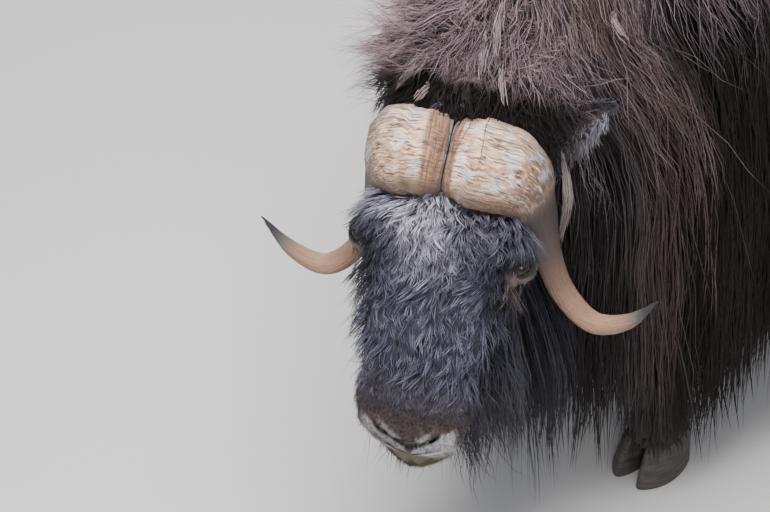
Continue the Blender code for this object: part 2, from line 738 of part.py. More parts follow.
def hoof(place):
    """A broad, round, cloven hoof with a flat sole and a cleft open to the front."""
    x, y, half_width, half_length = FEET[place]
    angle = np.linspace(0, 2 * math.pi, 16, endpoint=False)
    levels = (
        # height, scale of the outline, shift forwards
        (0.0, 0.96, 0.004),
        (0.012, 1.00, 0.004),
        (0.045, 0.92, -0.004),
        (HOOF_HEIGHT, 0.80, -0.012),
    )
    rings = []
    for z, scale, forward in levels:
        toe = 1 + 0.10 * np.clip(-np.sin(angle), 0, 1)
        ring_x = x + half_width * scale * power(np.cos(angle), 0.85)
        ring_y = y - forward + half_length * scale * toe * power(np.sin(angle), 0.85)
        rings.append(np.stack([ring_x, ring_y, np.full_like(angle, z)], axis=-1))
    made = skinned_rings("hoof_" + place, rings)
    front = y - half_length * 1.3
    wedge = [
        (x - 0.0075, front, -0.01),
        (x + 0.0075, front, -0.01),
        (x + 0.002, y + half_length * 0.35, -0.01),
        (x - 0.002, y + half_length * 0.35, -0.01),
    ]
    points = wedge + [(a, b, HOOF_HEIGHT - 0.012) for a, b, _ in wedge]
    faces = [(0, 1, 2, 3), (7, 6, 5, 4), (0, 4, 5, 1), (1, 5, 6, 2), (2, 6, 7, 3), (3, 7, 4, 0)]
    return combine(made, "DIFFERENCE", [solid("cleft", points, faces)])


def tail():
    """The short tail, a flat tuft that hangs against the rump."""
    at = np.linspace(0, 1, 6)
    root = np.array([0.0, TRUNK[-1, 0] - 0.012, 0.93])
    middle = root + np.stack([0 * at, 0.035 * at - 0.01 * at**2, -0.16 * at], axis=-1)
    wide = 0.036 * np.array([0.8, 1.0, 1.0, 0.9, 0.7, 0.4])
    thick = 0.016 * np.array([1.0, 1.0, 1.0, 0.9, 0.8, 0.5])
    angle = np.linspace(0, 2 * math.pi, 8, endpoint=False)
    rings = middle[:, None] + np.stack(
        [np.cos(angle) * wide[:, None], np.sin(angle) * thick[:, None], 0 * angle * wide[:, None]],
        axis=-1,
    )
    made = skinned_rings("tail", rings)
    tufts = []
    for shift, drop in ((-0.018, 0.05), (0.018, 0.07)):
        start = middle[3] + [shift, 0.004, 0]
        path = [start + np.array([shift * 0.3, 0.004, -(0.07 + drop)]) * i / 3 for i in range(4)]
        tufts.append(lock("lock", path, np.tile([0, 1, 0.1], (4, 1)), 0.020, 0.012))
    return keep_largest(combine(made, "UNION", tufts))


# Putting the animal together

# Name, first and last y, and side: 0 takes both sides
TRUNK_NODES = (
    ("neck", -2.0, -0.585, 0),
    ("shoulder_left", -0.585, -0.10, 1),
    ("shoulder_right", -0.585, -0.10, -1),
    ("flank_left", -0.10, 0.47, 1),
    ("flank_right", -0.10, 0.47, -1),
    ("haunch_left", 0.47, 2.0, 1),
    ("haunch_right", 0.47, 2.0, -1),
)


def trunk_core(name):
    """The trunk without hair, a little closer ringed at its two ends."""
    share = np.linspace(0, 1, 18)
    first, last = TRUNK[0, 0], TRUNK[-1, 0]
    y = first + (last - first) * (share - 0.08 * np.sin(2 * math.pi * share))
    angle = np.linspace(0, 2 * math.pi, 18, endpoint=False)
    return skinned_rings(name, trunk_point(y[:, None], angle[None, :]))


def part_trunk(whole):
    """Parts the haired trunk into its nodes by thin cuts across and along it."""
    nodes = []
    for name, first, last, side in TRUNK_NODES:
        piece = whole.copy()
        piece.data = whole.data.copy()
        piece.name = name
        bpy.context.scene.collection.objects.link(piece)
        low = (-2.0 if side < 1 else CUT / 2, first + CUT / 2, -1.0)
        high = (2.0 if side > -1 else -CUT / 2, last - CUT / 2, 3.0)
        keep_largest(combine(piece, "INTERSECT", [block("half", low, high)]))
        nodes.append(piece)
    bpy.data.objects.remove(whole)
    return nodes


def clear_of(target, others, distance=INFLATE):
    """Cuts the target clear of its neighbours."""
    return combine(target, "DIFFERENCE", [swollen(o, distance) for o in others])


def finish(target, colour):
    """Gives a node its plain finish."""
    name = colour
    material = bpy.data.materials.get(name) or bpy.data.materials.new(name)
    material.use_nodes = True
    shader = material.node_tree.nodes["Principled BSDF"]
    shader.inputs["Base Color"].default_value = (*COLOURS[colour], 1.0)
    shader.inputs["Roughness"].default_value = ROUGHNESS.get(colour, 0.85)
    shader.inputs["Metallic"].default_value = 0.0
    target.data.materials.clear()
    target.data.materials.append(material)


def rest_on_origin(nodes):
    """Moves all nodes so that the middle of their box stands on the origin."""
    points = []
    for node in nodes:
        points.append(np.array([v.co[:] for v in node.data.vertices]))
    points = np.concatenate(points)
    low, high = points.min(axis=0), points.max(axis=0)
    shift = np.array([-(low[0] + high[0]) / 2, -(low[1] + high[1]) / 2, -low[2]])
    for node in nodes:
        place = np.array([v.co[:] for v in node.data.vertices]) + shift
        node.data.vertices.foreach_set("co", place.ravel())
        node.data.update()
    print("moved by", shift.round(5), "box", (high - low).round(3))


def main():
    """Builds every node."""
    for old in list(bpy.data.objects):
        bpy.data.objects.remove(old)

    horns = [horn("horn_left", 1), horn("horn_right", -1)]
    eyes = [eyeball("eye_left", 1), eyeball("eye_right", -1)]
    ears = [ear("ear_left", 1), ear("ear_right", -1)]
    legs = [leg(place) for place in FEET]
    hooves = [hoof(place) for place in FEET]
    tails = [tail()]

    skull = head_core()
    for item in horns + ears:
        clear_of(item, [skull])
        keep_largest(item)
    shaved = swollen(skull, 0.0)
    combine(skull, "UNION", [lids(1), lids(-1)])
    combine(skull, "DIFFERENCE", [nostril_cutter(1), nostril_cutter(-1), mouth_cutter()])
    clear_of(skull, eyes)

    bare = trunk_core("bare")
    for item in legs + tails:
        clear_of(item, [bare])
        keep_largest(item)
    bpy.data.objects.remove(bare)
    trunk = trunk_core("trunk")
    combine(trunk, "UNION", coat_locks())
    clear_of(trunk, [shaved, *horns, *ears, *legs, *tails])
    bpy.data.objects.remove(shaved)
    trunk_nodes = part_trunk(trunk)
    first, *others = beard_locks()
    beard = combine(first, "UNION", others)
    clear_of(beard, [trunk_nodes[0], *horns, *ears], BEARD_INFLATE)
    keep_largest(combine(skull, "UNION", [beard]))

    looks = [(trunk_nodes, "coat"), ([skull], "face"), (horns, "horn"), (eyes, "eye")]
    looks += [(ears, "ear"), (legs, "leg"), (hooves, "hoof"), (tails, "coat")]
    nodes = []
    for group, colour in looks:
        for node in group:
            finish(node, colour)
            nodes.append(node)
    rest_on_origin(nodes)


main()
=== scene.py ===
# %% [markdown]
# # A muskox in its winter coat
#
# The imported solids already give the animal's size, stance and outline. This script dresses
# them: one skin under a coat of solid strands, then horns, eyes and hooves with their own
# finishes. Everything is in metres and in the frame of the solids, so nothing has to be fitted.

import math

import bpy
import numpy as np
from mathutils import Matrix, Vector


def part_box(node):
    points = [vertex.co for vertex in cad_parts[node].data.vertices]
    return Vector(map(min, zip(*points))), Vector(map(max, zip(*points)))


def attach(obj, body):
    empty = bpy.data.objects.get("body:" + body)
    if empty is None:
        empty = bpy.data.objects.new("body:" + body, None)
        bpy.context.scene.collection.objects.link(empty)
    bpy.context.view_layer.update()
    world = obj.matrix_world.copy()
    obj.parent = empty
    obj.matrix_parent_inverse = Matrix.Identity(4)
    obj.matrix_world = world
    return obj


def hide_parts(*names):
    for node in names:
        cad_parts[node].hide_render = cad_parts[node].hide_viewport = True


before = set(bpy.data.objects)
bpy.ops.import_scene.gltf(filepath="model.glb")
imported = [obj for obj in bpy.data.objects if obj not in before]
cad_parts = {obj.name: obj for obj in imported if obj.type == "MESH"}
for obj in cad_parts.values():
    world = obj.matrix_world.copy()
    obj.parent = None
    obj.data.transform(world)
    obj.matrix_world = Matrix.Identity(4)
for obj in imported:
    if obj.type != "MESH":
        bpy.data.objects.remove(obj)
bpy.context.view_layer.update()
RANDOM = np.random.default_rng(11)
SHARE_OF_COAT = 1.0
TURN = 2 * math.pi  # a whole turn
SIDES = ((1, "left"), (-1, "right"))  # the sign of x on each side, and the side's name

# %% [markdown]
# ## Curves and directions
#
# Every form here is read from a few sections or points, with a smooth curve between them.
# A cubic Hermite curve passes through each value and keeps its slope, which suits bodies and
# horns, and it works on whole arrays at once.

# %% Curves and directions
def smooth(knots, values, at):
    """Hermite curve: between two knots, a cubic that keeps the values and the mean slopes."""
    slopes = np.gradient(values, knots)
    at = np.clip(at, knots[0], knots[-1])
    k = np.clip(np.searchsorted(knots, at) - 1, 0, len(knots) - 2)
    step = knots[k + 1] - knots[k]
    t = (at - knots[k]) / step
    return (
        (2 * t**3 - 3 * t**2 + 1) * values[k]
        + (t**3 - 2 * t**2 + t) * step * slopes[k]
        + (3 * t**2 - 2 * t**3) * values[k + 1]
        + (t**3 - t**2) * step * slopes[k + 1]
    )


def along(points, at):
    """A smooth curve through 3-D points, read at shares of their count from 0 to 1."""
    knots = np.linspace(0.0, 1.0, len(points))
    return np.stack([smooth(knots, points[:, i], at) for i in range(3)], axis=-1)


def unit(v):
    """Vectors divided by their own length."""
    return v / np.maximum(np.linalg.norm(v, axis=-1, keepdims=True), 1e-9)


def dot(a, b):
    """Dot products of two arrays of vectors, kept as a last axis of one."""
    return np.sum(a * b, axis=-1, keepdims=True)


def power(value, exponent):
    """A power that keeps the sign: it squares or rounds the corners of a section."""
    return np.sign(value) * np.abs(value) ** exponent


def ramp(low, high, value):
    """0 below low, 1 above high, and an S-curve between them; low may be the larger."""
    t = np.clip((value - low) / (high - low), 0.0, 1.0)
    return t * t * (3 - 2 * t)


def bump_at(points, centre, radii):
    """A bell around a place: e to the minus squared distance, measured in radii."""
    return np.exp(-np.sum(((points - np.asarray(centre)) / np.asarray(radii)) ** 2, axis=-1))


def bell(value, middle, width):
    """A bell of one number: 1 in the middle, and 1/e at one width from it."""
    return np.exp(-(((value - middle) / width) ** 2))


def axes(points):
    """The three coordinates of points, as arrays of their own."""
    return points[..., 0], points[..., 1], points[..., 2]


def folded(points):
    """Points with the right side folded onto the left, so that one rule serves both."""
    return np.stack([np.abs(points[..., 0]), points[..., 1], points[..., 2]], axis=-1)


def circle(count):
    """Angles spread evenly round a circle."""
    return np.linspace(0, TURN, count, endpoint=False)


def shares(count):
    """Shares from 0 at the root to 1 at the tip, shaped to multiply (strands, points, 3)."""
    return np.linspace(0, 1, count)[None, :, None]


def ripples(points, size, seed):
    """A smooth random-looking field from -1 to 1: the mean of sine waves in mixed directions."""
    draw = np.random.default_rng(seed)
    waves = unit(draw.normal(size=(7, 3))) * (TURN / size) * draw.uniform(0.6, 1.5, (7, 1))
    phases = draw.uniform(0, TURN, 7)
    return np.mean(np.sin(points @ waves.T + phases), axis=-1) * 1.9

# %% [markdown]
# ## The pose of the head
#
# The bull lowers its head and turns it a little to its left. All the head's forms are worked
# out in a frame of its own, with the poll at the origin and the nose towards -y, and then
# turned into place by one matrix. The left eye's solid tells where the solids' frame lies.

# %% The pose of the head
POLL = np.array([0.05, -0.83, 0.93])
HEAD_YAW = math.radians(23.0)
HEAD_PITCH = math.radians(50.0)
HEAD_ROLL = math.radians(-1.0)
EYE = np.array([0.13, -0.24, 0.054])
EYE_RADIUS = 0.02


def turned(angle, axis):
    """The 3x3 matrix of a turn about one of the axes 0, 1 or 2."""
    c, s = math.cos(angle), math.sin(angle)
    i, j = (axis + 1) % 3, (axis + 2) % 3
    matrix = np.eye(3)
    matrix[i, i] = matrix[j, j] = c
    matrix[i, j], matrix[j, i] = -s, s
    return matrix


HEAD_TURN = turned(HEAD_YAW, 2) @ turned(HEAD_PITCH, 0) @ turned(-HEAD_ROLL, 1)


def posed(points):
    """Points of the head's frame in the animal's frame: turned, then moved to the poll."""
    return np.asarray(points, float) @ HEAD_TURN.T + POLL


def in_head_frame(points):
    """The reverse of posed."""
    return (np.asarray(points, float) - POLL) @ HEAD_TURN


def mirrored(points):
    """The same points on the head's other side."""
    return np.asarray(points, float) * np.array([-1.0, 1.0, 1.0])


low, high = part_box("eye_left")
SHIFT = (np.array(low) + np.array(high)) / 2 - posed(EYE)
print("solids lie", SHIFT.round(4), "from the frame of the sections")

# %% [markdown]
# ## Meshes from arrays
#
# A tube is a grid of rings with a fan over each end, so it is closed. Its faces are worked out
# as index arrays and put into the mesh in one call each, which stays fast for the hundred
# thousands of strands of a coat. Colours go in as an attribute of each point.

# %% Meshes from arrays
TONE = "tone"  # the colour attribute that skin and coat share


def grid(rows, columns):
    """The row and column numbers of every cell of a grid."""
    return (part.ravel() for part in np.meshgrid(np.arange(rows), np.arange(columns), indexing="ij"))


def tube_faces(rows, columns):
    """Triangles of a tube of rings, with a fan from a middle point over each end."""
    i, j = grid(rows - 1, columns)
    k = (j + 1) % columns
    a, b, c, d = i * columns + j, i * columns + k, (i + 1) * columns + k, (i + 1) * columns + j
    ring = np.arange(columns)
    following = (ring + 1) % columns
    first, last = np.full(columns, rows * columns), np.full(columns, rows * columns + 1)
    end = (rows - 1) * columns
    parts = [(a, b, c), (a, c, d), (first, following, ring), (last, end + ring, end + following)]
    return np.concatenate([np.stack(part, axis=1) for part in parts])


def tube_places(rows, columns):
    """Where each corner of those triangles lies along (0 to 1) and around (0 to 1) the tube."""
    i, j = grid(rows - 1, columns)
    low, high = i / (rows - 1), (i + 1) / (rows - 1)
    left, right = j / columns, (j + 1) / columns
    a, b = np.stack([low, left], -1), np.stack([low, right], -1)
    c, d = np.stack([high, right], -1), np.stack([high, left], -1)
    ring = np.arange(columns) / columns
    step = 1 / columns
    start = [np.stack([0 * ring, ring + share], -1) for share in (step / 2, step, 0)]
    finish = [np.stack([0 * ring + 1, ring + share], -1) for share in (step / 2, 0, step)]
    parts = [(a, b, c), (a, c, d), start, finish]
    return np.concatenate([np.stack(part, axis=1) for part in parts]).reshape(-1, 2)


def facing_out(points, faces):
    """The faces, turned over if the volume that they enclose comes out negative."""
    a, b, c = (points[faces[:, n]] for n in range(3))
    return faces if np.sum(a * np.cross(b, c)) > 0 else faces[:, ::-1]


def closed_tube(rings):
    """Points and outward triangles of a solid from a grid of rings."""
    rings = np.asarray(rings, float)
    rows, columns = rings.shape[:2]
    points = np.concatenate([rings.reshape(-1, 3), rings[0].mean(0)[None], rings[-1].mean(0)[None]])
    return points, facing_out(points, tube_faces(rows, columns))


def put_colours(mesh, colours, name=TONE):
    """Stores one colour for each point of a mesh as an attribute that a material can read."""
    layer = mesh.color_attributes.new(name, "FLOAT_COLOR", "POINT")
    rgba = np.ones((len(colours), 4), np.float32)
    rgba[:, :3] = colours
    layer.data.foreach_set("color", rgba.ravel())


def piece(name, points, faces, material=None, colours=None, places=None, map_name="UVMap"):
    """A smooth-shaded mesh object in the frame of the solids, from points and triangles."""
    mesh = bpy.data.meshes.new(name)
    mesh.vertices.add(len(points))
    mesh.vertices.foreach_set("co", (np.asarray(points) + SHIFT).astype(np.float32).ravel())
    mesh.loops.add(faces.size)
    mesh.loops.foreach_set("vertex_index", faces.astype(np.int32).ravel())
    mesh.polygons.add(len(faces))
    mesh.polygons.foreach_set("loop_start", np.arange(0, faces.size, 3, dtype=np.int32))
    mesh.polygons.foreach_set("use_smooth", np.ones(len(faces), bool))
    mesh.update(calc_edges=True)
    if colours is not None:
        put_colours(mesh, colours)
    if places is not None:
        layer = mesh.uv_layers.new(name=map_name)
        layer.data.foreach_set("uv", np.asarray(places, np.float32).ravel())
    if material is not None:
        mesh.materials.append(material)
    made = bpy.data.objects.new(name, mesh)
    bpy.context.scene.collection.objects.link(made)
    return made


def fused(target, operation, others):
    """Unites others with a piece, or cuts them from it, by a Boolean on closed meshes."""
    helpers = bpy.data.collections.new("helpers")
    bpy.context.scene.collection.children.link(helpers)
    for other in others:
        helpers.objects.link(other)
        bpy.context.scene.collection.objects.unlink(other)
    modifier = target.modifiers.new("fuse", "BOOLEAN")
    modifier.operation = operation
    modifier.operand_type = "COLLECTION"
    modifier.collection = helpers
    modifier.solver = "MANIFOLD"
    graph = bpy.context.evaluated_depsgraph_get()
    result = bpy.data.meshes.new_from_object(target.evaluated_get(graph))
    target.modifiers.clear()
    target.data = result
    for other in others:
        bpy.data.objects.remove(other)
    bpy.data.collections.remove(helpers)
    return target

# %% [markdown]
# ## The trunk under the coat
#
# The trunk is one form turned through a dozen sections, from the neck to the rump. The solids
# use the same sections, so the strands lie where the solids' locks lie. The same form is also
# read as a field, which says how high a point is over the body and which way is out: that is
# what keeps a strand on the surface as it grows.

# %% The trunk under the coat
HUMP_TOP = 1.36
HEM = 0.22
NECK_BEND_FROM = -0.4
NECK_BEND = 0.46
TRUNK = np.array([
    # y, back, belly, level of the widest point, half width
    (-0.93, 1.022, 0.86, 0.93, 0.06),
    (-0.87, 1.072, 0.76, 0.91, 0.12),
    (-0.76, 1.15, 0.64, 0.89, 0.176),
    (-0.6, 1.26, 0.53, 0.87, 0.262),
    (-0.4, HUMP_TOP, 0.48, 0.86, 0.345),
    (-0.15, 1.32, 0.46, 0.84, 0.38),
    (0.12, 1.23, 0.45, 0.81, 0.395),
    (0.45, 1.18, 0.46, 0.8, 0.388),
    (0.72, 1.15, 0.49, 0.8, 0.352),
    (0.9, 1.07, 0.54, 0.81, 0.28),
    (1.0, 0.975, 0.62, 0.81, 0.19),
    (1.045, 0.88, 0.72, 0.8, 0.08),
])
TRUNK_EXPONENT = 2.3
DOMES_AT = (-0.87, 0.98)
DOME_DEPTH = 0.07


def trunk_shift(y):
    """How far the neck leans to the left: a parabola in front of the hump."""
    return 0.5 * NECK_BEND * np.maximum(NECK_BEND_FROM - y, 0.0) ** 2


def trunk_section(y):
    """A section's middle x, widest level, half width, height above and depth below."""
    back, belly, level, half = (smooth(TRUNK[:, 0], TRUNK[:, i], y) for i in (1, 2, 3, 4))
    return trunk_shift(y), level, half, back - level, level - belly


def trunk_point(y, angle):
    """A superellipse at y, with the angle 0 on the back and pi / 2 on the left side."""
    middle, level, half, up, down = trunk_section(y)
    across = power(np.sin(angle), 2 / TRUNK_EXPONENT)
    rise = power(np.cos(angle), 2 / TRUNK_EXPONENT)
    height = np.where(rise > 0, up, down) * rise
    return np.stack(np.broadcast_arrays(middle + half * across, y, level + height), axis=-1)


def trunk_reach(points):
    """The superellipse read backwards: 1 on the body, more outside, with domed ends."""
    first, last = DOMES_AT
    beyond = np.maximum(np.maximum(first - points[..., 1], points[..., 1] - last), 0)
    middle, level, half, up, down = trunk_section(np.clip(points[..., 1], first, last))
    x = points[..., 0] - middle
    z = points[..., 2] - level
    tall = np.where(z > 0, up, down)
    n = TRUNK_EXPONENT
    reach = (np.abs(x / half) ** n + np.abs(z / tall) ** n) ** (1 / n)
    return np.hypot(reach, beyond / DOME_DEPTH)


def trunk_normal(points):
    """Height over the body in metres and the way out: the field's value over its slope."""
    step = 0.006
    slope = np.stack(
        [trunk_reach(points + step * axis) - trunk_reach(points - step * axis) for axis in np.eye(3)],
        axis=-1,
    ) / (2 * step)
    steep = np.maximum(np.linalg.norm(slope, axis=-1), 1e-3)
    return (trunk_reach(points) - 1) / steep, unit(slope)

# %% [markdown]
# ## The head's form
#
# A muskox has a long, blunt head with eyes that stand out at the sides, broad wings round the
# nostrils and a full lower lip. The head is again a turned form, with bells added where the
# brows, nostril wings and lips swell. Under the fur the skin lies deeper than the outline, and
# it comes to the surface where the hair is short: on the muzzle and round the eyes.

# %% The head's form
HEAD = np.array([
    # y, half width, top, bottom
    (0.06, 0.085, 0.065, -0.12),
    (0.01, 0.11, 0.098, -0.165),
    (-0.07, 0.124, 0.114, -0.195),
    (-0.16, 0.13, 0.116, -0.202),
    (-0.25, 0.128, 0.109, -0.184),
    (-0.33, 0.119, 0.098, -0.16),
    (-0.41, 0.104, 0.084, -0.138),
    (-0.47, 0.096, 0.068, -0.126),
    (-0.515, 0.09, 0.044, -0.116),
    (-0.548, 0.075, 0.012, -0.098),
    (-0.568, 0.036, -0.022, -0.066),
])
NOSE_AT = -0.568
NOSTRIL = np.array([0.043, -0.53, 0.024])
MOUTH_LEVEL = -0.062
SWELLINGS = [
    # centre and radii of a bell, and how far it moves the surface, on both sides of the head
    (EYE, (0.05, 0.048, 0.04), (0.02, -0.002, 0.005)),  # brow
    (NOSTRIL, (0.022, 0.03, 0.02), (0.004, -0.004, 0.005)),  # wing of the nostril
]
CHIN, CHIN_RADII, CHIN_OUT = (0.0, -0.57, -0.088), (0.062, 0.06, 0.024), 0.014
JOWL, JOWL_RADII, JOWL_OUT = (0.098, -0.385, -0.06), (0.03, 0.06, 0.05), 0.012
UPPER_LIP_OUT = 0.026
FUR_DEPTH = 0.013  # how deep the skin lies under the outline of the furred face


def head_outline(y, angle):
    """The head's outline in its own frame, with the angle 0 on top and pi / 2 on the left."""
    half, top, bottom = (smooth(-HEAD[:, 0], HEAD[:, i], -y) for i in (1, 2, 3))
    level = 0.35 * top
    x = half * power(np.sin(angle), 2 / 2.5)
    rise = power(np.cos(angle), 2 / 2.3)
    z = level + np.where(rise > 0, top - level, level - bottom) * rise
    jaw = np.clip((level - z) / np.maximum(level - bottom, 1e-3), 0, 1)
    x = x * (1 - 0.34 * jaw**1.6)
    points = np.stack(np.broadcast_arrays(x, y, z), axis=-1)
    for side in (-1, 1):
        mirror = np.array([side, 1, 1])
        for centre, radii, shift in SWELLINGS:
            swollen = bump_at(points, centre * mirror, radii)
            points = points + swollen[..., None] * (shift * mirror)
    front = np.clip((-y - 0.42) / 0.1, 0, 1)
    slope = np.clip((-0.01 - points[..., 2]) / 0.08, 0, 1)
    points = points + (front * slope)[..., None] * np.array([0, -UPPER_LIP_OUT, 0])
    points = points + bump_at(points, CHIN, CHIN_RADII)[..., None] * np.array([0, -CHIN_OUT, 0])
    jowls = bump_at(points, JOWL, JOWL_RADII) - bump_at(mirrored(points), JOWL, JOWL_RADII)
    points = points + jowls[..., None] * np.array([JOWL_OUT, 0, 0])
    lips = bell(points[..., 2], MOUTH_LEVEL, 0.02) * np.clip((-y - 0.4) / 0.1, 0, 1)
    return points + lips[..., None] * (points * [0.05, 0, 0] + [0, -0.004, 0])


def mouth_line(y):
    """The level of the line between the lips: it rises a little towards the corner."""
    return MOUTH_LEVEL + 0.1 * (y + 0.55)


def slit_at(x):
    """How far forward the nostril's slit lies at a distance from the middle: it starts at the
    philtrum and runs back and outwards as a power of that distance."""
    return -0.566 + 0.028 * np.clip(np.abs(x) / 0.051, 0, 1.6) ** 1.25


def slit_share(points):
    """1 in the middle of the slit, falling to 0 at its edges and past its outer end."""
    x, y, z = axes(folded(points))
    line = bell(y, slit_at(x), 0.0028 + 0.0016 * ramp(0.03, 0.048, x))
    return line * ramp(0.06, 0.052, x) * ramp(-0.045, -0.03, z)


def skin_details(points):
    """How far the bare skin stands out (+) or in (-) from the outline, in the head's frame."""
    x, y, z = axes(points)
    near_eye = np.maximum(*(bump_at(points, EYE * [s, 1, 1], [0.04, 0.04, 0.036]) for s in (-1, 1)))
    muzzle = ramp(-0.44, -0.5, y)
    out = -FUR_DEPTH * (1 - near_eye) * (1 - muzzle) - 0.002 * muzzle
    in_front = ramp(-0.39, -0.43, y)
    out = out - 0.0055 * in_front * bell(z, mouth_line(y), 0.0032)
    out = out + 0.003 * in_front * bell(z - mouth_line(y), -0.01, 0.007)
    groove = bell(x, 0, 0.0035) * ramp(-0.55, -0.56, y) * ramp(-0.07, -0.05, z)
    out = out - 0.003 * groove - 0.0085 * slit_share(points)
    beside = (y - slit_at(x)) / 0.008
    rims = ramp(0.062, 0.045, np.abs(x)) * ramp(0.012, 0.026, np.abs(x))
    rims = rims * ramp(-0.045, -0.03, z)
    out = out + 0.0045 * rims * (bell(beside, 1.1, 1) + 0.6 * bell(beside, -1.1, 1))
    for side in (-1, 1):
        fold = points - EYE * [side, 1, 1] - np.array([0.0, -0.03, -0.03])
        out = out - 0.002 * np.exp(-((fold[..., 2] / 0.004) ** 2) - (fold[..., 1] / 0.03) ** 2)
    return out + 0.0012 * ripples(points, 0.03, 3)


def with_normals(surface, s, t, step=1e-3):
    """Points of a surface of two parameters with their normals: the cross product of the two
    directions in which the parameters run. The head's and legs' forms give outward ones."""
    place = surface(s, t)
    ds = surface(s + step, t) - surface(s - step, t)
    dt = surface(s, t + step) - surface(s, t - step)
    return place, unit(np.cross(dt, ds))


def head_skin(y, angle):
    """The head's skin and its normals, in the head's own frame."""
    place, normal = with_normals(head_outline, y, angle)
    return place + normal * skin_details(place)[..., None], normal

# %% [markdown]
# ## Markings
#
# Skin and coat must carry the same colours, or the skin would flash between the strands. So
# the colour is one function of place, which both read: brown over the mane, with a lighter ruff
# edge that is partly a painted highlight, near black on the chest and low on the trunk, dark hair
# deepened there as painted shade, a paler saddle behind the hump, dark red-brown flanks and pale,
# muddied legs. The face is slate grey, pale up its middle and dark at its sides; round the eyes
# and behind the boss it is darkened further as painted shade and shadow. The muzzle is tan, with
# pale skin along the nostrils and a cream lower lip.

# %% Markings
MANE = np.array([0.182, 0.138, 0.154])
RUFF = np.array([0.048, 0.04, 0.045])
# a lighter band at the ruff's edge: paler hair, partly a painted highlight where it is lit
RUFF_EDGE_PALE_AND_LIT = np.array([0.13, 0.085, 0.066])
SHOULDER = np.array([0.015, 0.0095, 0.0085])
FLANK = np.array([0.022, 0.013, 0.01])
# near black: dark hair, deepened as painted shade under the body
CHEST_DARK_AND_SHADE = np.array([0.007, 0.006, 0.007])
SADDLE = np.array([0.19, 0.145, 0.1])
RUMP = np.array([0.045, 0.031, 0.025])
STOCKING = np.array([0.26, 0.225, 0.19])
MUD = np.array([0.045, 0.036, 0.031])
FACE = np.array([0.096, 0.095, 0.145])
CHEEK = np.array([0.034, 0.034, 0.052])
MUZZLE_PALE = np.array([0.56, 0.53, 0.55])
MUZZLE_TAN = np.array([0.085, 0.062, 0.055])
LIP_CREAM = np.array([0.125, 0.102, 0.074])
EYE_SKIN = np.array([0.24, 0.175, 0.16])
MIDLINE_PALE = np.array([0.64, 0.62, 0.72])
# near black: dark skin and lashes, and painted shade in the slits, pits, between the lips and against the
# eyes
NEAR_BLACK_AND_SHADE = np.array([0.022, 0.018, 0.019])
# near black: dark hair, and a painted shadow behind the boss and under the mane
CROWN_DARK_AND_SHADOW = np.array([0.02, 0.014, 0.014])


def blended(colour, other, share):
    """Two colours mixed by a share for each point."""
    return colour + (other - colour) * np.asarray(share)[..., None]


def layered(colour, *layers):
    """A colour with others laid over it in turn, each by its own share."""
    for other, share in layers:
        colour = blended(colour, other, share)
    return colour


def trunk_marking(points):
    """The colour of the trunk at each place, from its length and height, a little uneven."""
    uneven = ripples(points, 0.3, 5)
    y, z = points[..., 1] + 0.02 * uneven, points[..., 2]
    uneven_z = z + 0.04 * uneven
    neck = ramp(-0.6, -0.65, y)
    saddle = ramp(-0.12, 0.02, y) * ramp(0.55, 0.38, y) * ramp(1.1, 1.19, z)
    low = ramp(0.8, 0.55, z) * ramp(0.25, -0.25, y)
    return layered(
        np.broadcast_to(FLANK, points.shape),
        (SHOULDER, ramp(0.1, -0.2, y)),
        (RUMP, ramp(0.55, 0.85, y) * ramp(0.6, 0.9, z)),
        (MANE * 0.75, ramp(1.1, 1.24, uneven_z) * ramp(0.02, -0.2, y)),
        (SADDLE, saddle * 0.75),
        (RUFF, neck),
        (MANE, neck * ramp(0.86, 1.06, uneven_z)),
        # the ruff's edge lighter: paler hair and a painted highlight
        (RUFF_EDGE_PALE_AND_LIT, 0.8 * (bell(y, -0.68, 0.045) * ramp(0.7, 0.88, z))),
        # darker towards the bottom of the trunk and on the chest: painted shade over dark hair
        (CHEST_DARK_AND_SHADE, np.clip(low + ramp(0.52, 0.4, z) * 0.6, 0, 1)),
    )


def leg_marking(points):
    """Pale stockings below the knee, with mud that thickens towards the hoof."""
    z = points[..., 2] + 0.02 * ripples(points, 0.06, 8)
    colour = blended(np.broadcast_to(RUMP, points.shape), STOCKING, ramp(0.42, 0.3, z))
    front_left = (points[..., 0] > 0) * (points[..., 1] < 0)
    mud = ramp(0.2 + 0.25 * front_left, 0.08 + 0.15 * front_left, z) * (0.55 + 0.4 * front_left)
    return blended(colour, MUD, np.clip(mud, 0, 1))


def eye_hollow_shade(local):
    """1 in the hollow before and below each eye, darkened there as painted shade, falling to 0 round it."""
    around = bump_at(folded(local), EYE + [-0.014, 0.0, 0.01], [0.046, 0.034, 0.038])
    beneath = bump_at(folded(local), EYE + [-0.018, -0.055, 0.01], [0.024, 0.034, 0.034])
    return np.clip(1.3 * around + 0.9 * beneath, 0, 1)


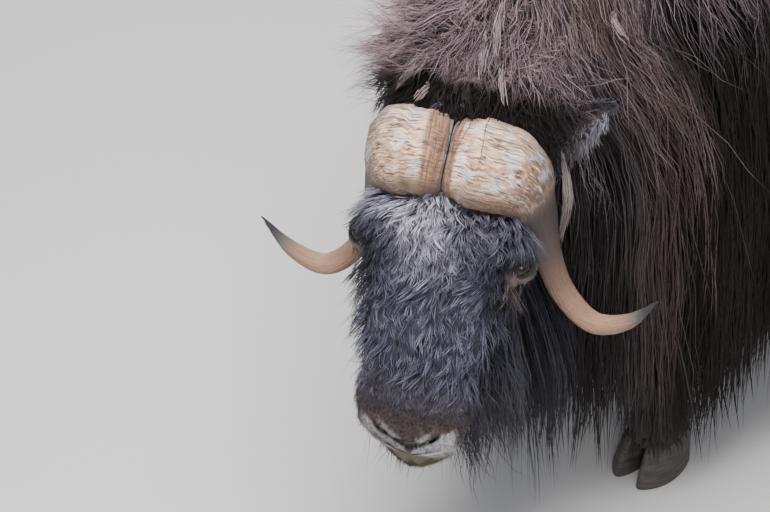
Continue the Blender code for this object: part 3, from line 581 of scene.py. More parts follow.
def muzzle_marking(colour, local, uneven):
    """The muzzle's colours over another: pale skin below and above each slit, the rim above it
    partly a painted highlight, weaker on the right side, a cream lower lip, and dark lines between the lips
    and in the slits, painted as shade."""
    x, y, z = axes(folded(local))
    from_slit = y - slit_at(x) + 0.003 * uneven
    below = ramp(0.002, -0.004, from_slit) * ramp(-0.04, -0.026, from_slit)
    below = below * ramp(0.086, 0.07, x) * ramp(0.002, 0.01, x)
    # pale rim above the slit: pale skin and a painted highlight on the raised rim
    pale_and_lit_rim = bell(from_slit, 0.0085, 0.0042) * ramp(0.01, 0.018, x)
    pale_and_lit_rim = pale_and_lit_rim * ramp(0.046, 0.034, x)
    white = np.clip(below + 0.8 * pale_and_lit_rim, 0, 1) * ramp(-0.085, -0.035, z)
    far_side = 0.45 * (local[..., 0] < 0)
    lip = ramp(mouth_line(y) + 0.012, mouth_line(y) - 0.002, z)
    lip = np.maximum(lip, ramp(-0.568, -0.576, y)) * ramp(-0.45, -0.5, y)
    line = ramp(-0.39, -0.44, y) * bell(z, mouth_line(y), 0.004)
    return layered(
        colour,
        (MUZZLE_PALE, white * (1 - far_side)),
        (LIP_CREAM, lip * ramp(-0.115, -0.095, z)),
        # dark line between the lips and in the slits: painted shade in the creases
        (NEAR_BLACK_AND_SHADE, 0.9 * line),
        (NEAR_BLACK_AND_SHADE, (0.95 - far_side) * slit_share(local)),
    )


def face_marking(local):
    """The colour of the head at places in its own frame."""
    x, y, z = axes(folded(local))
    uneven = ripples(local, 0.05, 6)
    side = ramp(0.045, -0.03, z + 0.012 * uneven) * ramp(0.06, 0.095, x)
    midline = bell(local[..., 0], -0.025, 0.06) * ramp(-0.31, -0.19, y + 0.02 * uneven)
    under_eye = bump_at(folded(local), EYE + [0.004, -0.024, 0.002], [0.021, 0.014, 0.024])
    colour = layered(
        np.broadcast_to(FACE, local.shape),
        (CHEEK, side),
        (MIDLINE_PALE, 0.95 * midline),
        # painted shadow behind the boss, over dark hair
        (CROWN_DARK_AND_SHADOW, ramp(-0.15, -0.11, y)),
        # painted shade in the hollows round the eyes
        (CHEEK * 0.45, eye_hollow_shade(local)),
        (EYE_SKIN, np.clip(1.4 * under_eye, 0, 1)),
        (MUZZLE_TAN * 0.6, 0.6 * ramp(-0.42, -0.47, y + 0.015 * uneven)),
        (MUZZLE_TAN, 0.95 * ramp(-0.486, -0.51, y + 0.012 * uneven)),
    )
    return muzzle_marking(colour, local, uneven)


def dark_and_shadow_behind_boss(points):
    """1 close behind the horns' boss, where hair is near black with a painted shadow, and 0 further away.
    """
    local = in_head_frame(points)
    across = ramp(0.21, 0.16, np.abs(local[..., 0]))
    return ramp(0.03, 0.008, local[..., 1]) * across * ramp(-0.04, 0.02, local[..., 2])


def marking(points):
    """The colour at any place of the skin: face, legs or trunk."""
    local = in_head_frame(points)
    width = np.hypot(local[..., 0], local[..., 2] + 0.03)
    head = ramp(0.02, -0.05, local[..., 1]) * ramp(0.26, 0.22, width)
    low = ramp(0.46, 0.4, points[..., 2])
    return layered(trunk_marking(points), (leg_marking(points), low), (face_marking(local), head))

# %% [markdown]
# ## Painting with nodes
#
# A material is a small sum: noise, masks and colours added and multiplied. Nodes hold that sum,
# and writing it as Python arithmetic keeps it readable. One class wraps a number that varies
# over the surface, and one method makes any other node.

# %% Painting with nodes
class Varying:
    """A number that varies over a surface: arithmetic on it adds Math nodes."""

    def __init__(self, paint, socket):
        self.paint = paint
        self.socket = socket

    def maths(self, operation, first, second=0.0):
        return self.paint.node("ShaderNodeMath", {"operation": operation}, {0: first, 1: second})

    def __add__(self, other):
        return self.maths("ADD", self, other)

    def __radd__(self, other):
        return self.maths("ADD", other, self)

    def __sub__(self, other):
        return self.maths("SUBTRACT", self, other)

    def __rsub__(self, other):
        return self.maths("SUBTRACT", other, self)

    def __mul__(self, other):
        return self.maths("MULTIPLY", self, other)

    def between(self, low, high):
        """0 below low, 1 above high, and an S-curve between them."""
        settings = {"interpolation_type": "SMOOTHSTEP"}
        return self.paint.node("ShaderNodeMapRange", settings, {0: self, 1: low, 2: high})


class Paint:
    """A material under construction, ending in one Principled shader."""

    def __init__(self, name, constants):
        self.material = bpy.data.materials.new(name)
        self.material.use_nodes = True
        self.tree = self.material.node_tree
        self.shader = self.tree.nodes["Principled BSDF"]
        for socket, value in constants.items():
            self.shader.inputs[socket].default_value = value

    def node(self, kind, settings=None, values=None, output=0):
        """Any node: its type, its settings first, then the values or links of its sockets."""
        made = self.tree.nodes.new(kind)
        for key, value in (settings or {}).items():
            if key == "stops":
                self.set_stops(made.color_ramp.elements, value)
            else:
                setattr(made, key, value)
        for key, value in (values or {}).items():
            self.join(value, made.inputs[key])
        return Varying(self, made.outputs[output])

    def set_stops(self, elements, stops):
        """Colour stops of a colour ramp, as pairs of a place and a colour."""
        while len(elements) < len(stops):
            elements.new(1.0)
        for element, (place, colour) in zip(elements, stops):
            element.position = place
            element.color = (*colour, 1.0)

    def join(self, value, socket):
        """Links a varying value to a socket, or sets a constant on it."""
        if isinstance(value, Varying):
            self.tree.links.new(value.socket, socket)
        else:
            socket.default_value = value

    def to(self, socket, value):
        """Gives the shader's own socket its value."""
        self.join(value, self.shader.inputs[socket])

    def mix(self, share, first, second, mode="MIX"):
        """Two colours mixed by a share; mode may multiply or overlay them."""
        settings = {"data_type": "RGBA", "blend_type": mode}
        colours = [(*c, 1.0) if isinstance(c, tuple) else c for c in (first, second)]
        return self.node("ShaderNodeMix", settings, {0: share, 6: colours[0], 7: colours[1]}, output=2)

    def place(self):
        """The place on the object, in metres."""
        return self.node("ShaderNodeTexCoord", output=3)

    def noise(self, vector, scale, detail=4.0, roughness=0.55, stretch=(1, 1, 1)):
        """Noise from 0 to 1 about its mean of 0.5, stretched along the axes."""
        vector = self.node("ShaderNodeVectorMath", {"operation": "MULTIPLY"}, {0: vector, 1: stretch})
        values = {"Vector": vector, "Scale": scale, "Detail": detail, "Roughness": roughness}
        return self.node("ShaderNodeTexNoise", None, values)

    def tone(self):
        """The colour that the mesh carries at each point."""
        return self.node("ShaderNodeAttribute", {"attribute_name": TONE})

    def shaded_tone(self, shade):
        """The mesh's own colour, lightened and darkened by a shade about 1."""
        grey = self.node("ShaderNodeCombineColor", None, {0: shade, 1: shade, 2: shade})
        return self.mix(1.0, self.tone(), grey, "MULTIPLY")

    def raised(self, height, distance, strength=1.0):
        """Bump from a height that varies over the surface."""
        values = {"Height": height, "Distance": distance, "Strength": strength}
        self.to("Normal", self.node("ShaderNodeBump", None, values))

# %% [markdown]
# ## Hair and skin paint
#
# Hair takes its colour from the mesh and adds fine streaks. The skin takes the same colours,
# under a nap of flat hair and pores, which are bump.

# %% Hair and skin paint
def hair_paint(name, roughness, contrast):
    """Strands: the colour they carry, lightened and darkened in fine streaks."""
    paint = Paint(name, {"Roughness": roughness, "Specular IOR Level": 0.18})
    streaks = paint.noise(paint.place(), 380.0, detail=3.0, roughness=0.6)
    paint.to("Base Color", paint.shaded_tone((streaks - 0.5) * contrast + 1.0))
    return paint.material


def skin_paint():
    """The skin: the same colours, deepened, with a nap of flat hair as fine bump."""
    paint = Paint("skin", {"Roughness": 0.75, "Specular IOR Level": 0.3})
    place = paint.place()
    nap = paint.noise(place, 260.0, detail=5.0, stretch=(1, 0.35, 1))
    pores = paint.noise(place, 900.0, detail=2.0)
    paint.to("Base Color", paint.shaded_tone((nap - 0.5) * 0.8 + 0.92))
    paint.raised(nap + pores * 0.4, 0.0016, 0.8)
    return paint.material


COAT_PAINT = hair_paint("coat_hair", 0.66, 1.5)
FACE_PAINT = hair_paint("face_hair", 0.6, 1.2)
SKIN_PAINT = skin_paint()
print("hair and skin are painted from the attribute", TONE)

# %% [markdown]
# ## Legs and ears under the fur
#
# Legs are stout above and slender at the cannon, with a full foot. Ears are curled leaves with
# their hollow turned forwards. Both are tubes, so that a Boolean can unite them with the body
# into one skin with no seams.

# %% Legs and ears under the fur
HOOF_HEIGHT = 0.078
FEET = {
    # x, y, hoof half width, hoof half length
    "front_left": (0.2, -0.49, 0.062, 0.064),
    "front_right": (-0.195, -0.47, 0.062, 0.064),
    "rear_left": (0.195, 0.7, 0.052, 0.056),
    "rear_right": (-0.195, 0.8, 0.052, 0.056),
}
LEG_FUR = 0.005  # how deep the skin of the leg lies under its outline


LEG_LINES = {
    "front": [
        # inwards and back from the foot, height, half width, half length
        (0.05, 0.05, 0.62, 0.1, 0.12),
        (0.03, 0.03, 0.5, 0.078, 0.09),
        (0.012, 0.005, 0.36, 0.06, 0.064),
        (0.004, 0.018, 0.24, 0.046, 0.05),
        (0.0, 0.022, 0.14, 0.048, 0.054),
        (0.0, 0.012, HOOF_HEIGHT + 0.012, 0.056, 0.062),
        (0.0, 0.006, HOOF_HEIGHT, 0.05, 0.056),
    ],
    "rear": [
        (0.04, -0.02, 0.64, 0.105, 0.15),
        (0.02, 0.03, 0.52, 0.076, 0.105),
        (0.005, 0.085, 0.41, 0.052, 0.066),
        (0.0, 0.07, 0.3, 0.042, 0.048),
        (0.0, 0.045, 0.2, 0.04, 0.046),
        (0.0, 0.02, HOOF_HEIGHT + 0.02, 0.048, 0.054),
        (0.0, 0.008, HOOF_HEIGHT, 0.043, 0.048),
    ],
}


def leg_line(place):
    """The leg's middle line and half sizes: x, y, z, half width, half length."""
    x, y = FEET[place][:2]
    line = np.array(LEG_LINES[place.split("_")[0]])
    line[:, 0] = x - line[:, 0] * math.copysign(1, x)
    line[:, 1] = y + line[:, 1]
    return line


def leg_outline(place):
    """A surface of the share down the leg and the angle round it: a level ellipse at each."""
    line = leg_line(place)
    knots = np.linspace(0, 1, len(line))

    def surface(share, angle):
        x, y, z, wide, long = (smooth(knots, line[:, i], share) for i in range(5))
        place = (x + np.cos(angle) * wide, y + np.sin(angle) * long, z + 0 * angle)
        return np.stack(np.broadcast_arrays(*place), axis=-1)

    return surface


def leg_skin(place):
    """The skin of one leg, a little inside its outline and closed inside the hoof."""
    share = np.linspace(0, 1, 40)[:, None]
    angle = circle(36)[None, :]
    rings, normals = with_normals(leg_outline(place), share, angle)
    outward = unit(normals * [1, 1, 0])
    outward = outward * np.sign(dot(outward, rings - rings.mean(axis=1, keepdims=True)))
    rings = rings - outward * LEG_FUR
    rings[-1, :, 2] = HOOF_HEIGHT - 0.004
    return piece("leg", *closed_tube(rings))


EAR_BASE = {1: np.array([0.116, -0.026, 0.036]), -1: np.array([0.114, 0.0, 0.025])}
EAR_TIP = {1: np.array([0.224, 0.04, 0.04]), -1: np.array([0.176, 0.098, 0.0])}
EAR_HALF_WIDTH, EAR_WALL = 0.036, 0.0045
EAR_CURL = 0.62  # depth of the trough over its half width
EAR_OPENS_TOWARDS = np.array([0.25, -0.5, 0.83])
EAR_LOWER_EDGE = -1.0  # the sign of s on the leaf's edge that is turned to the ground


def ear_frame(side):
    """Base, length and the three directions of an ear: ahead, across and into its hollow."""
    base, tip = EAR_BASE[side], EAR_TIP[side]
    ahead = unit(tip - base)
    hollow = unit(EAR_OPENS_TOWARDS)
    hollow = unit(hollow - ahead * np.dot(hollow, ahead))
    return base, np.linalg.norm(tip - base), ahead, np.cross(hollow, ahead), hollow


def ear_surface(side, t, s, outer):
    """A leaf: half an ellipse wide along t, curled into a trough across s from -1 to 1."""
    base, length, ahead, across, hollow = ear_frame(side)
    widening = np.sqrt(np.clip(1 - ((t - 0.3) / 0.52) ** 2, 0.0, 1))
    pointing = 1 - (np.clip(t - 0.3, 0, 1) / 0.72) ** 1.5
    half = EAR_HALF_WIDTH * np.where(t < 0.3, widening, pointing) + 0.0015
    wall = EAR_WALL * (1.3 - 0.6 * np.abs(s)) * (0 if outer else 1)
    place = (
        base
        + ahead * (t * length)[..., None]
        + across * (half * s)[..., None]
        + hollow * (EAR_CURL * half * (s**2 - 1) + wall)[..., None]
    )
    return posed(place if side > 0 else mirrored(place))


def ear_skin(side):
    """The cup of one ear as a closed tube: its back, then its hollow side in reverse."""
    t = np.linspace(-0.12, 0.97, 26)[:, None]
    s = np.linspace(-1, 1, 15)[None, :]
    t, s = np.broadcast_arrays(t, s)
    back, cup = ear_surface(side, t, s, True), ear_surface(side, t, s, False)
    return piece("ear", *closed_tube(np.concatenate([back, cup[:, ::-1]], axis=1)))

# %% [markdown]
# ## Lids
#
# The eye is seen between two heavy lids that hug the eyeball. Each lid could be a torus, but a
# torus looks like a button. Here the lids are a shell round the eyeball, with an almond cut
# out: the shell's profile runs up its inside, over a rounded margin and down its outside, with
# a fold in the upper lid, and is carried round the almond.

# %% Lids
LID_HALF_LENGTH, LID_RISE, LID_DROP = 0.0148, 0.0078, 0.007
LID_GAP = 0.0004  # between the eyeball and the inside of the lids
LID_THICKNESS = 0.0026
LID_SPREAD = 0.013  # how far the lids' outer edge stands out, to meet the head's skin
LID_BACK = math.radians(118)  # how far round the eyeball the lids reach
GAZE = np.array([0.5, -0.26, 0.82])


def eye_frame(side):
    """The centre of an eye and its directions: out of the head, along the lids and up."""
    face = unit(GAZE * [side, 1, 1])
    ahead = unit(np.cross(face, [0.0, 0.35, 1.0]))
    return EYE * [side, 1, 1], face, ahead, np.cross(ahead, face)


def lids(side):
    """A shell from the margin's almond to behind the eye, thicker along the margin."""
    centre, face, ahead, upward = eye_frame(side)
    turn = circle(56)[:, None]
    up = np.sin(turn)
    half_long, half_high = LID_HALF_LENGTH, np.where(up > 0, LID_RISE, LID_DROP)
    corner = np.abs(np.cos(turn)) ** 3
    open_by = np.hypot(np.cos(turn) * half_long, up * half_high * (1 - 0.25 * corner))
    margin = np.arcsin(np.clip(open_by / EYE_RADIUS, 0, 0.95))
    share = np.linspace(0, 1, 13)[None, :]
    inside = EYE_RADIUS + LID_GAP + 0 * share + 0 * margin
    fold = 0.0014 * np.maximum(up, 0) * np.sin(share * 9.0)
    fold = fold - 0.0008 * np.maximum(-up, 0) * np.sin(share * 12)
    outside = EYE_RADIUS + LID_THICKNESS + 0.001 * bell(share, 0, 0.12) + fold
    outside = outside + LID_SPREAD * share**1.4
    rounded = EYE_RADIUS + 0.0022 + 0 * margin
    polar = margin + (LID_BACK - margin) * share
    polar = np.concatenate([polar[:, ::-1], margin - 0.045, polar], axis=1)
    radius = np.concatenate([inside[:, ::-1], rounded, outside], axis=1)
    ring = np.cos(turn) * ahead + up * upward
    out = face * np.cos(polar)[..., None] + ring[:, None, :] * np.sin(polar)[..., None]
    place = centre + radius[..., None] * out
    rows, columns = place.shape[:2]
    i, j = grid(rows, columns)
    i2, j2 = (i + 1) % rows, (j + 1) % columns
    a, b, c, d = i * columns + j, i * columns + j2, i2 * columns + j2, i2 * columns + j
    faces = np.concatenate([np.stack([a, b, c], 1), np.stack([a, c, d], 1)])
    points = posed(place.reshape(-1, 3))
    return piece("lids", points, facing_out(points, faces))

# %% [markdown]
# ## One skin
#
# Head, trunk, legs, ears, lids and the tail's core are united into one closed skin, so that no
# seam shows where the solids are parted. Two flat egg forms cut the pits of the nostrils.

# %% One skin
SKIN_DEPTH = 0.012  # how deep the trunk's skin lies under the solids' core
NOSTRIL_AT = 0.041  # distance from the middle to the pit of each nostril
NOSTRIL_RADII, NOSTRIL_TURN = (0.0021, 0.0125, 0.014), math.radians(-57)
TAIL_MIDDLE, TAIL_RADII = np.array([0.0, 1.045, 0.87]), np.array([0.03, 0.016, 0.075])


def trunk_skin():
    """The trunk's form, drawn in by the skin's depth."""
    share = np.linspace(0, 1, 110)
    first, last = TRUNK[0, 0], TRUNK[-1, 0]
    y = first + (last - first) * (share - 0.08 * np.sin(TURN * share))
    angle = circle(96)
    rings = trunk_point(y[:, None], angle[None, :])
    outward = trunk_normal(rings)[1]
    return piece("trunk", *closed_tube(rings - outward * SKIN_DEPTH))


def head_piece():
    """The head's skin as a tube, with its rings closer together towards the nose."""
    y = np.concatenate([np.linspace(0.05, -0.38, 58), np.linspace(-0.384, NOSE_AT, 84)])
    angle = circle(168)
    rings = head_skin(y[:, None], angle[None, :])[0]
    return piece("skin", *closed_tube(posed(rings)))


def egg(centre, radii, turn, rows=18, columns=28):
    """An ellipsoid's points and faces: a sphere's rings, scaled by the radii and turned."""
    rise = np.linspace(-math.pi / 2, math.pi / 2, rows + 2)[1:-1, None]
    round_ = circle(columns)[None, :]
    flat = np.cos(rise)
    sphere = np.broadcast_arrays(flat * np.cos(round_), flat * np.sin(round_), np.sin(rise))
    return closed_tube((np.stack(sphere, -1) * radii) @ turn.T + centre)


def nostril_cutter(side):
    """A pit at the slit's outer end, its long way along the slit."""
    place = np.array([NOSTRIL_AT * side, slit_at(NOSTRIL_AT), 0.02])
    turn = HEAD_TURN @ turned(NOSTRIL_TURN * side, 2)
    return piece("nostril", *egg(posed(place), NOSTRIL_RADII, turn))


skin = fused(head_piece(), "UNION", [trunk_skin(), ear_skin(1), ear_skin(-1), lids(1), lids(-1)])
fused(skin, "UNION", [piece("tail", *egg(TAIL_MIDDLE, TAIL_RADII, np.eye(3)))])
fused(skin, "UNION", [leg_skin(place) for place in FEET])
fused(skin, "DIFFERENCE", [nostril_cutter(1), nostril_cutter(-1)])
skin.name = skin.data.name = "skin"
print("skin has", len(skin.data.polygons), "faces")

# %% [markdown]
# ## The skin's colours
#
# The skin takes the markings, but darker, because light hardly reaches it between the hairs.
# Only the bare places keep the full colour: the muzzle and the skin round the eyes. The lids are
# near black, partly dark skin and partly painted shade against the eye, and the slits and the
# pits of the nostrils are darkened as painted shade.

# %% The skin's colours
SKIN_SHADE = 0.45
count = len(skin.data.vertices)
places = np.empty(count * 3, np.float32)
skin.data.vertices.foreach_get("co", places)
places = places.reshape(-1, 3).astype(float) - SHIFT
local = in_head_frame(places)
bare = ramp(-0.44, -0.5, local[:, 1])
near_eyes = bump_at(folded(local), EYE, [0.03] * 3)
# the nostrils' slits darkened as painted shade
slits = slit_share(local) * (local[:, 1] < -0.5)
shade = SKIN_SHADE + (1 - SKIN_SHADE) * np.clip(bare + near_eyes, 0, 1)
tones = blended(marking(places) * shade[:, None], NEAR_BLACK_AND_SHADE * 0.6, np.clip(slits * 1.4, 0, 1))
for side, _ in SIDES[::-1]:
    centre, face, _, _ = eye_frame(side)
    away = np.linalg.norm(local - centre, axis=1)
    facing = dot(unit(local - centre), face)[:, 0]
    # lids near black: dark skin and painted shade against the eye; the nostril pits painted shade
    is_lid = (away < EYE_RADIUS + 0.004) * ramp(0.55, 0.8, facing)
    pit_shade = bump_at(local, [NOSTRIL_AT * side, slit_at(NOSTRIL_AT), 0.006], [0.009, 0.005, 0.01])
    tones = layered(tones, (NEAR_BLACK_AND_SHADE, is_lid), (NEAR_BLACK_AND_SHADE * 0.5, np.clip(pit_shade * 1.6, 0, 1)))
put_colours(skin.data, tones)
skin.data.polygons.foreach_set("use_smooth", np.ones(len(skin.data.polygons), bool))
skin.data.materials.clear()
skin.data.materials.append(SKIN_PAINT)
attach(skin, "root")
FLESH = ["head", "neck", "tail", "ear_left", "ear_right"]
FLESH += [f"{part}_{side}" for part in ("shoulder", "flank", "haunch") for side in ("left", "right")]
FLESH += [f"leg_{end}_{side}" for end in ("front", "rear") for side in ("left", "right")]
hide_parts(*FLESH)
print("the skin replaces", len(FLESH), "solids")

# %% [markdown]
# ## Strands
#
# Hair that must also show in the exported model has to be mesh. A strand is a flat three-sided
# tube with a ridge on its outer side, wider at its root and drawn to a point. All strands of a
# piece are worked out as one array of rings, so even a hundred thousand take a moment. Each
# strand also gets a small patch at its root's place on an unwrap of the body, so that its
# colour can be baked without muddling it with its neighbours'.

# %% Strands
BAKE_PATCH = 0.003
RIDGE = 0.4  # height of a strand's ridge over its half width
STRAND_LIMIT = 190_000  # triangles in one piece of the coat
coat_total = 0


def strand_faces(points_each, count):
    """Triangles of many strands: a base, three sides and a tip for each."""
    rings = points_each - 1
    faces = [(0, 2, 1)]
    for i in range(rings - 1):
        for j in range(3):
            k = (j + 1) % 3
            faces += [(3 * i + j, 3 * i + k, 3 * i + 3 + k), (3 * i + j, 3 * i + 3 + k, 3 * i + 3 + j)]
    faces += [(3 * rings - 3 + j, 3 * rings - 3 + (j + 1) % 3, 3 * rings) for j in range(3)]
    each = 3 * rings + 1
    return (np.array(faces)[None] + np.arange(count)[:, None, None] * each).reshape(-1, 3)


def strand_points(paths, outward, half_width):
    """Rings of three points round each path: left, ridge and right. The width follows a
    profile that swells a little behind the root and falls to nothing at the tip."""
    ahead = unit(np.gradient(paths, axis=1))
    across = unit(np.cross(ahead, outward))
    over = np.cross(across, ahead)
    share = np.linspace(0, 1, paths.shape[1])[None, :-1, None]
    width = half_width[:, None, None] * (0.8 + 0.55 * share - 1.1 * share**1.6)
    left = paths[:, :-1] - across[:, :-1] * width
    right = paths[:, :-1] + across[:, :-1] * width
    ridge = paths[:, :-1] + over[:, :-1] * width * RIDGE
    rings = np.stack([left, ridge, right], axis=2).reshape(len(paths), -1, 3)
    return np.concatenate([rings, paths[:, -1:]], axis=1)


def coat_piece(name, paths, outward, half_width, tones, unwrap, material, slot):
    """Pieces of the coat from paths (count, points, 3), with a colour for each path point
    and a place on the unwrap for each root. A piece stays below the limit of triangles."""
    global coat_total
    count, points_each = paths.shape[:2]
    faces_each = 6 * (points_each - 2) + 4
    parts = math.ceil(count * faces_each / STRAND_LIMIT)
    for n in range(parts):
        some = slice(n * count // parts, (n + 1) * count // parts)
        points = strand_points(paths[some], outward[some], half_width[some])
        number, each = points.shape[:2]
        faces = strand_faces(points_each, number)
        ring_tones = np.repeat(tones[some, :-1], 3, axis=1)
        colours = np.concatenate([ring_tones, tones[some, -1:]], axis=1).reshape(-1, 3)
        low, high = unwrap[some].min(axis=0), unwrap[some].max(axis=0)
        roots = (unwrap[some] - low) / (high - low) * (1 - 2 * BAKE_PATCH) + BAKE_PATCH / 2
        corner = np.array([(0.5 * (i % 3), i // 3 / (points_each - 1)) for i in range(each)])
        corner[-1] = (0.5, 1.0)
        patch = roots[:, None] + corner[None] * BAKE_PATCH
        uv = patch.reshape(-1, 2)[faces.ravel()]
        label = name if parts == 1 else f"{name}_{n + 1}"
        made = piece(label, points.reshape(-1, 3), faces, material, colours, uv, "OFBake")
        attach(made, "root")
        coat_total += len(faces)
        print(label, number, "strands", len(faces), "triangles")

# %% [markdown]
# ## Where hair grows
#
# Roots are spread evenly over a surface, or closer where a density asks for it. They follow
# sequences that never bunch, so no patch of skin stays bare by chance.

# %% Where hair grows
ROW_STEP, PLACE_STEP = 0.7548776662, 0.5698402909  # steps of the two sequences


def scattered(surface, s_range, t_range, count, density=None):
    """Even random places on a surface: its area is summed over a grid of cells, times a wanted
    density, and two sequences of even steps, taken modulo 1, pick places on that sum."""
    s = np.linspace(*s_range, 241)
    t = np.linspace(*t_range, 181)
    s_mid, t_mid = (s[1:] + s[:-1])[:, None] / 2, (t[1:] + t[:-1])[None, :] / 2
    step = 1e-3
    ds = surface(s_mid + step, t_mid) - surface(s_mid - step, t_mid)
    dt = surface(s_mid, t_mid + step) - surface(s_mid, t_mid - step)
    weight = np.linalg.norm(np.cross(ds, dt), axis=-1)
    if density is not None:
        weight = weight * density(*np.broadcast_arrays(s_mid, t_mid))
    rows = np.cumsum(weight.sum(axis=1))
    order = np.arange(count)
    u = (0.5 + order * ROW_STEP) % 1
    v = (0.5 + order * PLACE_STEP) % 1
    row = np.clip(np.searchsorted(rows, u * rows[-1]), 0, len(rows) - 1)
    start, in_row = np.where(row > 0, rows[row - 1], 0), weight.sum(axis=1)[row]
    within = (u * rows[-1] - start) / np.maximum(in_row, 1e-12)
    target = start + v * in_row
    cell = np.clip(np.searchsorted(np.cumsum(weight.ravel()), target), 0, weight.size - 1)
    column = cell % weight.shape[1]
    jitter = RANDOM.uniform(0, 1, count)
    return s[row] + within * (s[1] - s[0]), t[column] + jitter * (t[1] - t[0])

# %% [markdown]
# ## Clumps and their looks
#
# Hair seldom lies singly: strands gather towards the tip of a guide and wave together, and a
# few stray. Each strand has a shade of its own, and its colour runs from a root darkened as
# painted shade to a paler tip, which is partly the hair's own and partly a painted highlight.

# %% Clumps and their looks
REACH = (0.72, 1.0)  # share of the guide that a strand follows
STRAYS, STRAY_FURTHER = 0.1, 2.2  # share of the strands that stray, and how much further


def read_path(paths, share):
    """Points of each path at its own shares (count, points), by straight steps between them."""
    last = paths.shape[1] - 1
    at = np.clip(share, 0, 1) * last
    k = np.clip(at.astype(int), 0, last - 1)
    part = (at - k)[..., None]
    row = np.arange(len(paths))[:, None]
    return paths[row, k] * (1 - part) + paths[row, k + 1] * part


def clumped(paths, outward, each, spread, gather=0.75, wave=0.0, wavelength=0.09, loose=0.0):
    """Strands round guide paths. They start spread about the guide and gather towards its tip,
    and a sine of the length along them gives the wave. The way outward may be given once for
    each guide or for all. Returns paths, outward and guide index."""
    count, points_each = paths.shape[:2]
    if outward.ndim < 3:
        outward = np.broadcast_to(outward[..., None, :], paths.shape)
    guide = np.repeat(np.arange(count), each)
    total = len(guide)
    share = np.linspace(0, 1, points_each)[None, :]
    reach = RANDOM.uniform(*REACH, total)[:, None]
    line = read_path(paths[guide], share * reach)
    out = unit(read_path(outward[guide], share * reach))
    ahead = unit(np.gradient(line, axis=1))
    across = unit(np.cross(ahead, out))
    sideways = RANDOM.uniform(-1, 1, total)[:, None] * spread
    height = RANDOM.uniform(-0.35, 0.65, total)[:, None] * spread * 0.7
    closing = 1 - gather * share**0.8
    length = np.linalg.norm(np.diff(line, axis=1), axis=2).sum(axis=1)[:, None]
    phase = RANDOM.uniform(0, TURN, count)[guide][:, None]
    phase = phase + RANDOM.normal(0, 0.5, total)[:, None]
    swing = wave * np.sin(phase + TURN * share * length / wavelength) * share**0.6
    wild = 1 + STRAY_FURTHER * (RANDOM.uniform(0, 1, total) < STRAYS)
    stray = (RANDOM.normal(0, loose, total) * wild)[:, None] * share**1.5
    line = line + across * (sideways * closing + swing + stray)[..., None]
    line = line + out * (height * closing + 0.4 * np.abs(stray))[..., None]
    return line, out, guide


def strand_tones(base, points_each, root_shade, tip_shade, variation):
    """Colours along each strand: its own colour, darkened at the root as painted shade and paler at the
    tip, partly a painted highlight.
    """
    shade = root_shade + (tip_shade - root_shade) * shares(points_each) ** 1.2
    own = RANDOM.normal(1.0, variation, (len(base), 1, 1))
    return np.clip(base[:, None, :] * shade * np.clip(own, 0.35, 2.0), 0.001, 0.9)


def unwrapped(along_body, angle):
    """Places on the unwrap: the share along the body, and the angle as a share of the turn."""
    return np.stack([along_body, (angle + math.pi) / TURN], axis=-1)


def jittered(places, reach):
    """Places on the unwrap, each moved at random by up to a reach."""
    return places + RANDOM.uniform(-reach, reach, places.shape)


def fur(name, paths, outward, colour, looks, unwrap, jitter, paint, slot):
    """A piece of hair in one colour, or in one for each strand. Its looks are the shades at
    root and tip, their variation, and the least and greatest half width of a strand."""
    root_shade, tip_shade, variation, thinnest, thickest = looks
    colour = np.broadcast_to(colour, (len(paths), 3))
    tones = strand_tones(colour, paths.shape[1], root_shade, tip_shade, variation)
    unwrap = jittered(unwrap, jitter) if jitter else unwrap
    widths = RANDOM.uniform(thinnest, thickest, len(paths))
    coat_piece(name, paths, outward, widths, tones, unwrap, paint, slot)

# %% [markdown]
# ## Clear of horns and ears
#
# The horns and ears stand out of the coat, so the hair parts round them. The horn's middle line
# is set out here, before the coat, and a hair path that comes near a horn or an ear is cut
# short where it does.

# %% Clear of horns and ears
HORN_LINE = np.array([
    (0.004, -0.095, 0.132),
    (0.045, -0.096, 0.14),
    (0.089, -0.101, 0.122),
    (0.123, -0.122, 0.08),
    (0.141, -0.165, 0.012),
    (0.152, -0.216, -0.054),
    (0.18, -0.27, -0.11),
    (0.232, -0.306, -0.14),
    (0.29, -0.292, -0.122),
    (0.338, -0.25, -0.072),
])
HORN_BREADTH = np.array([0.066, 0.071, 0.07, 0.052, 0.034, 0.026, 0.021, 0.018, 0.013, 0.0012])
HORN_THICKNESS = np.array([0.031, 0.036, 0.035, 0.019, 0.012, 0.0125, 0.015, 0.016, 0.012, 0.0012])
EAR_CLEARANCE = 0.026
HORN_CLEARANCE = 0.012


def nearness(paths, line, radius):
    """Distance from each point to a line of straight pieces, less the radius at each piece."""
    nearest = np.full(paths.shape[:2], 9.0)
    for start, end, thick in zip(line[:-1], line[1:], radius):
        axis = end - start
        share = np.clip((paths - start) @ axis / (axis @ axis), 0, 1)
        away = np.linalg.norm(paths - start - share[..., None] * axis, axis=-1) - thick
        nearest = np.minimum(nearest, away)
    return nearest


def hits_feature(paths):
    """Which points of the paths lie too near to an ear or to the free part of a horn."""
    hit = np.zeros(paths.shape[:2], bool)
    free = HORN_LINE[3:]
    thick = (HORN_BREADTH[3:-1] + HORN_THICKNESS[3:-1]) / 2
    for side in (1, -1):
        base, tip = EAR_BASE[side] * [side, 1, 1], EAR_TIP[side] * [side, 1, 1]
        line = posed(np.array([base + 0.3 * (tip - base), tip + 0.1 * (tip - base)]))
        hit |= nearness(paths, line, [EAR_CLEARANCE]) < 0
        hit |= nearness(paths, posed(free * [side, 1, 1]), thick + HORN_CLEARANCE) < 0
    return hit


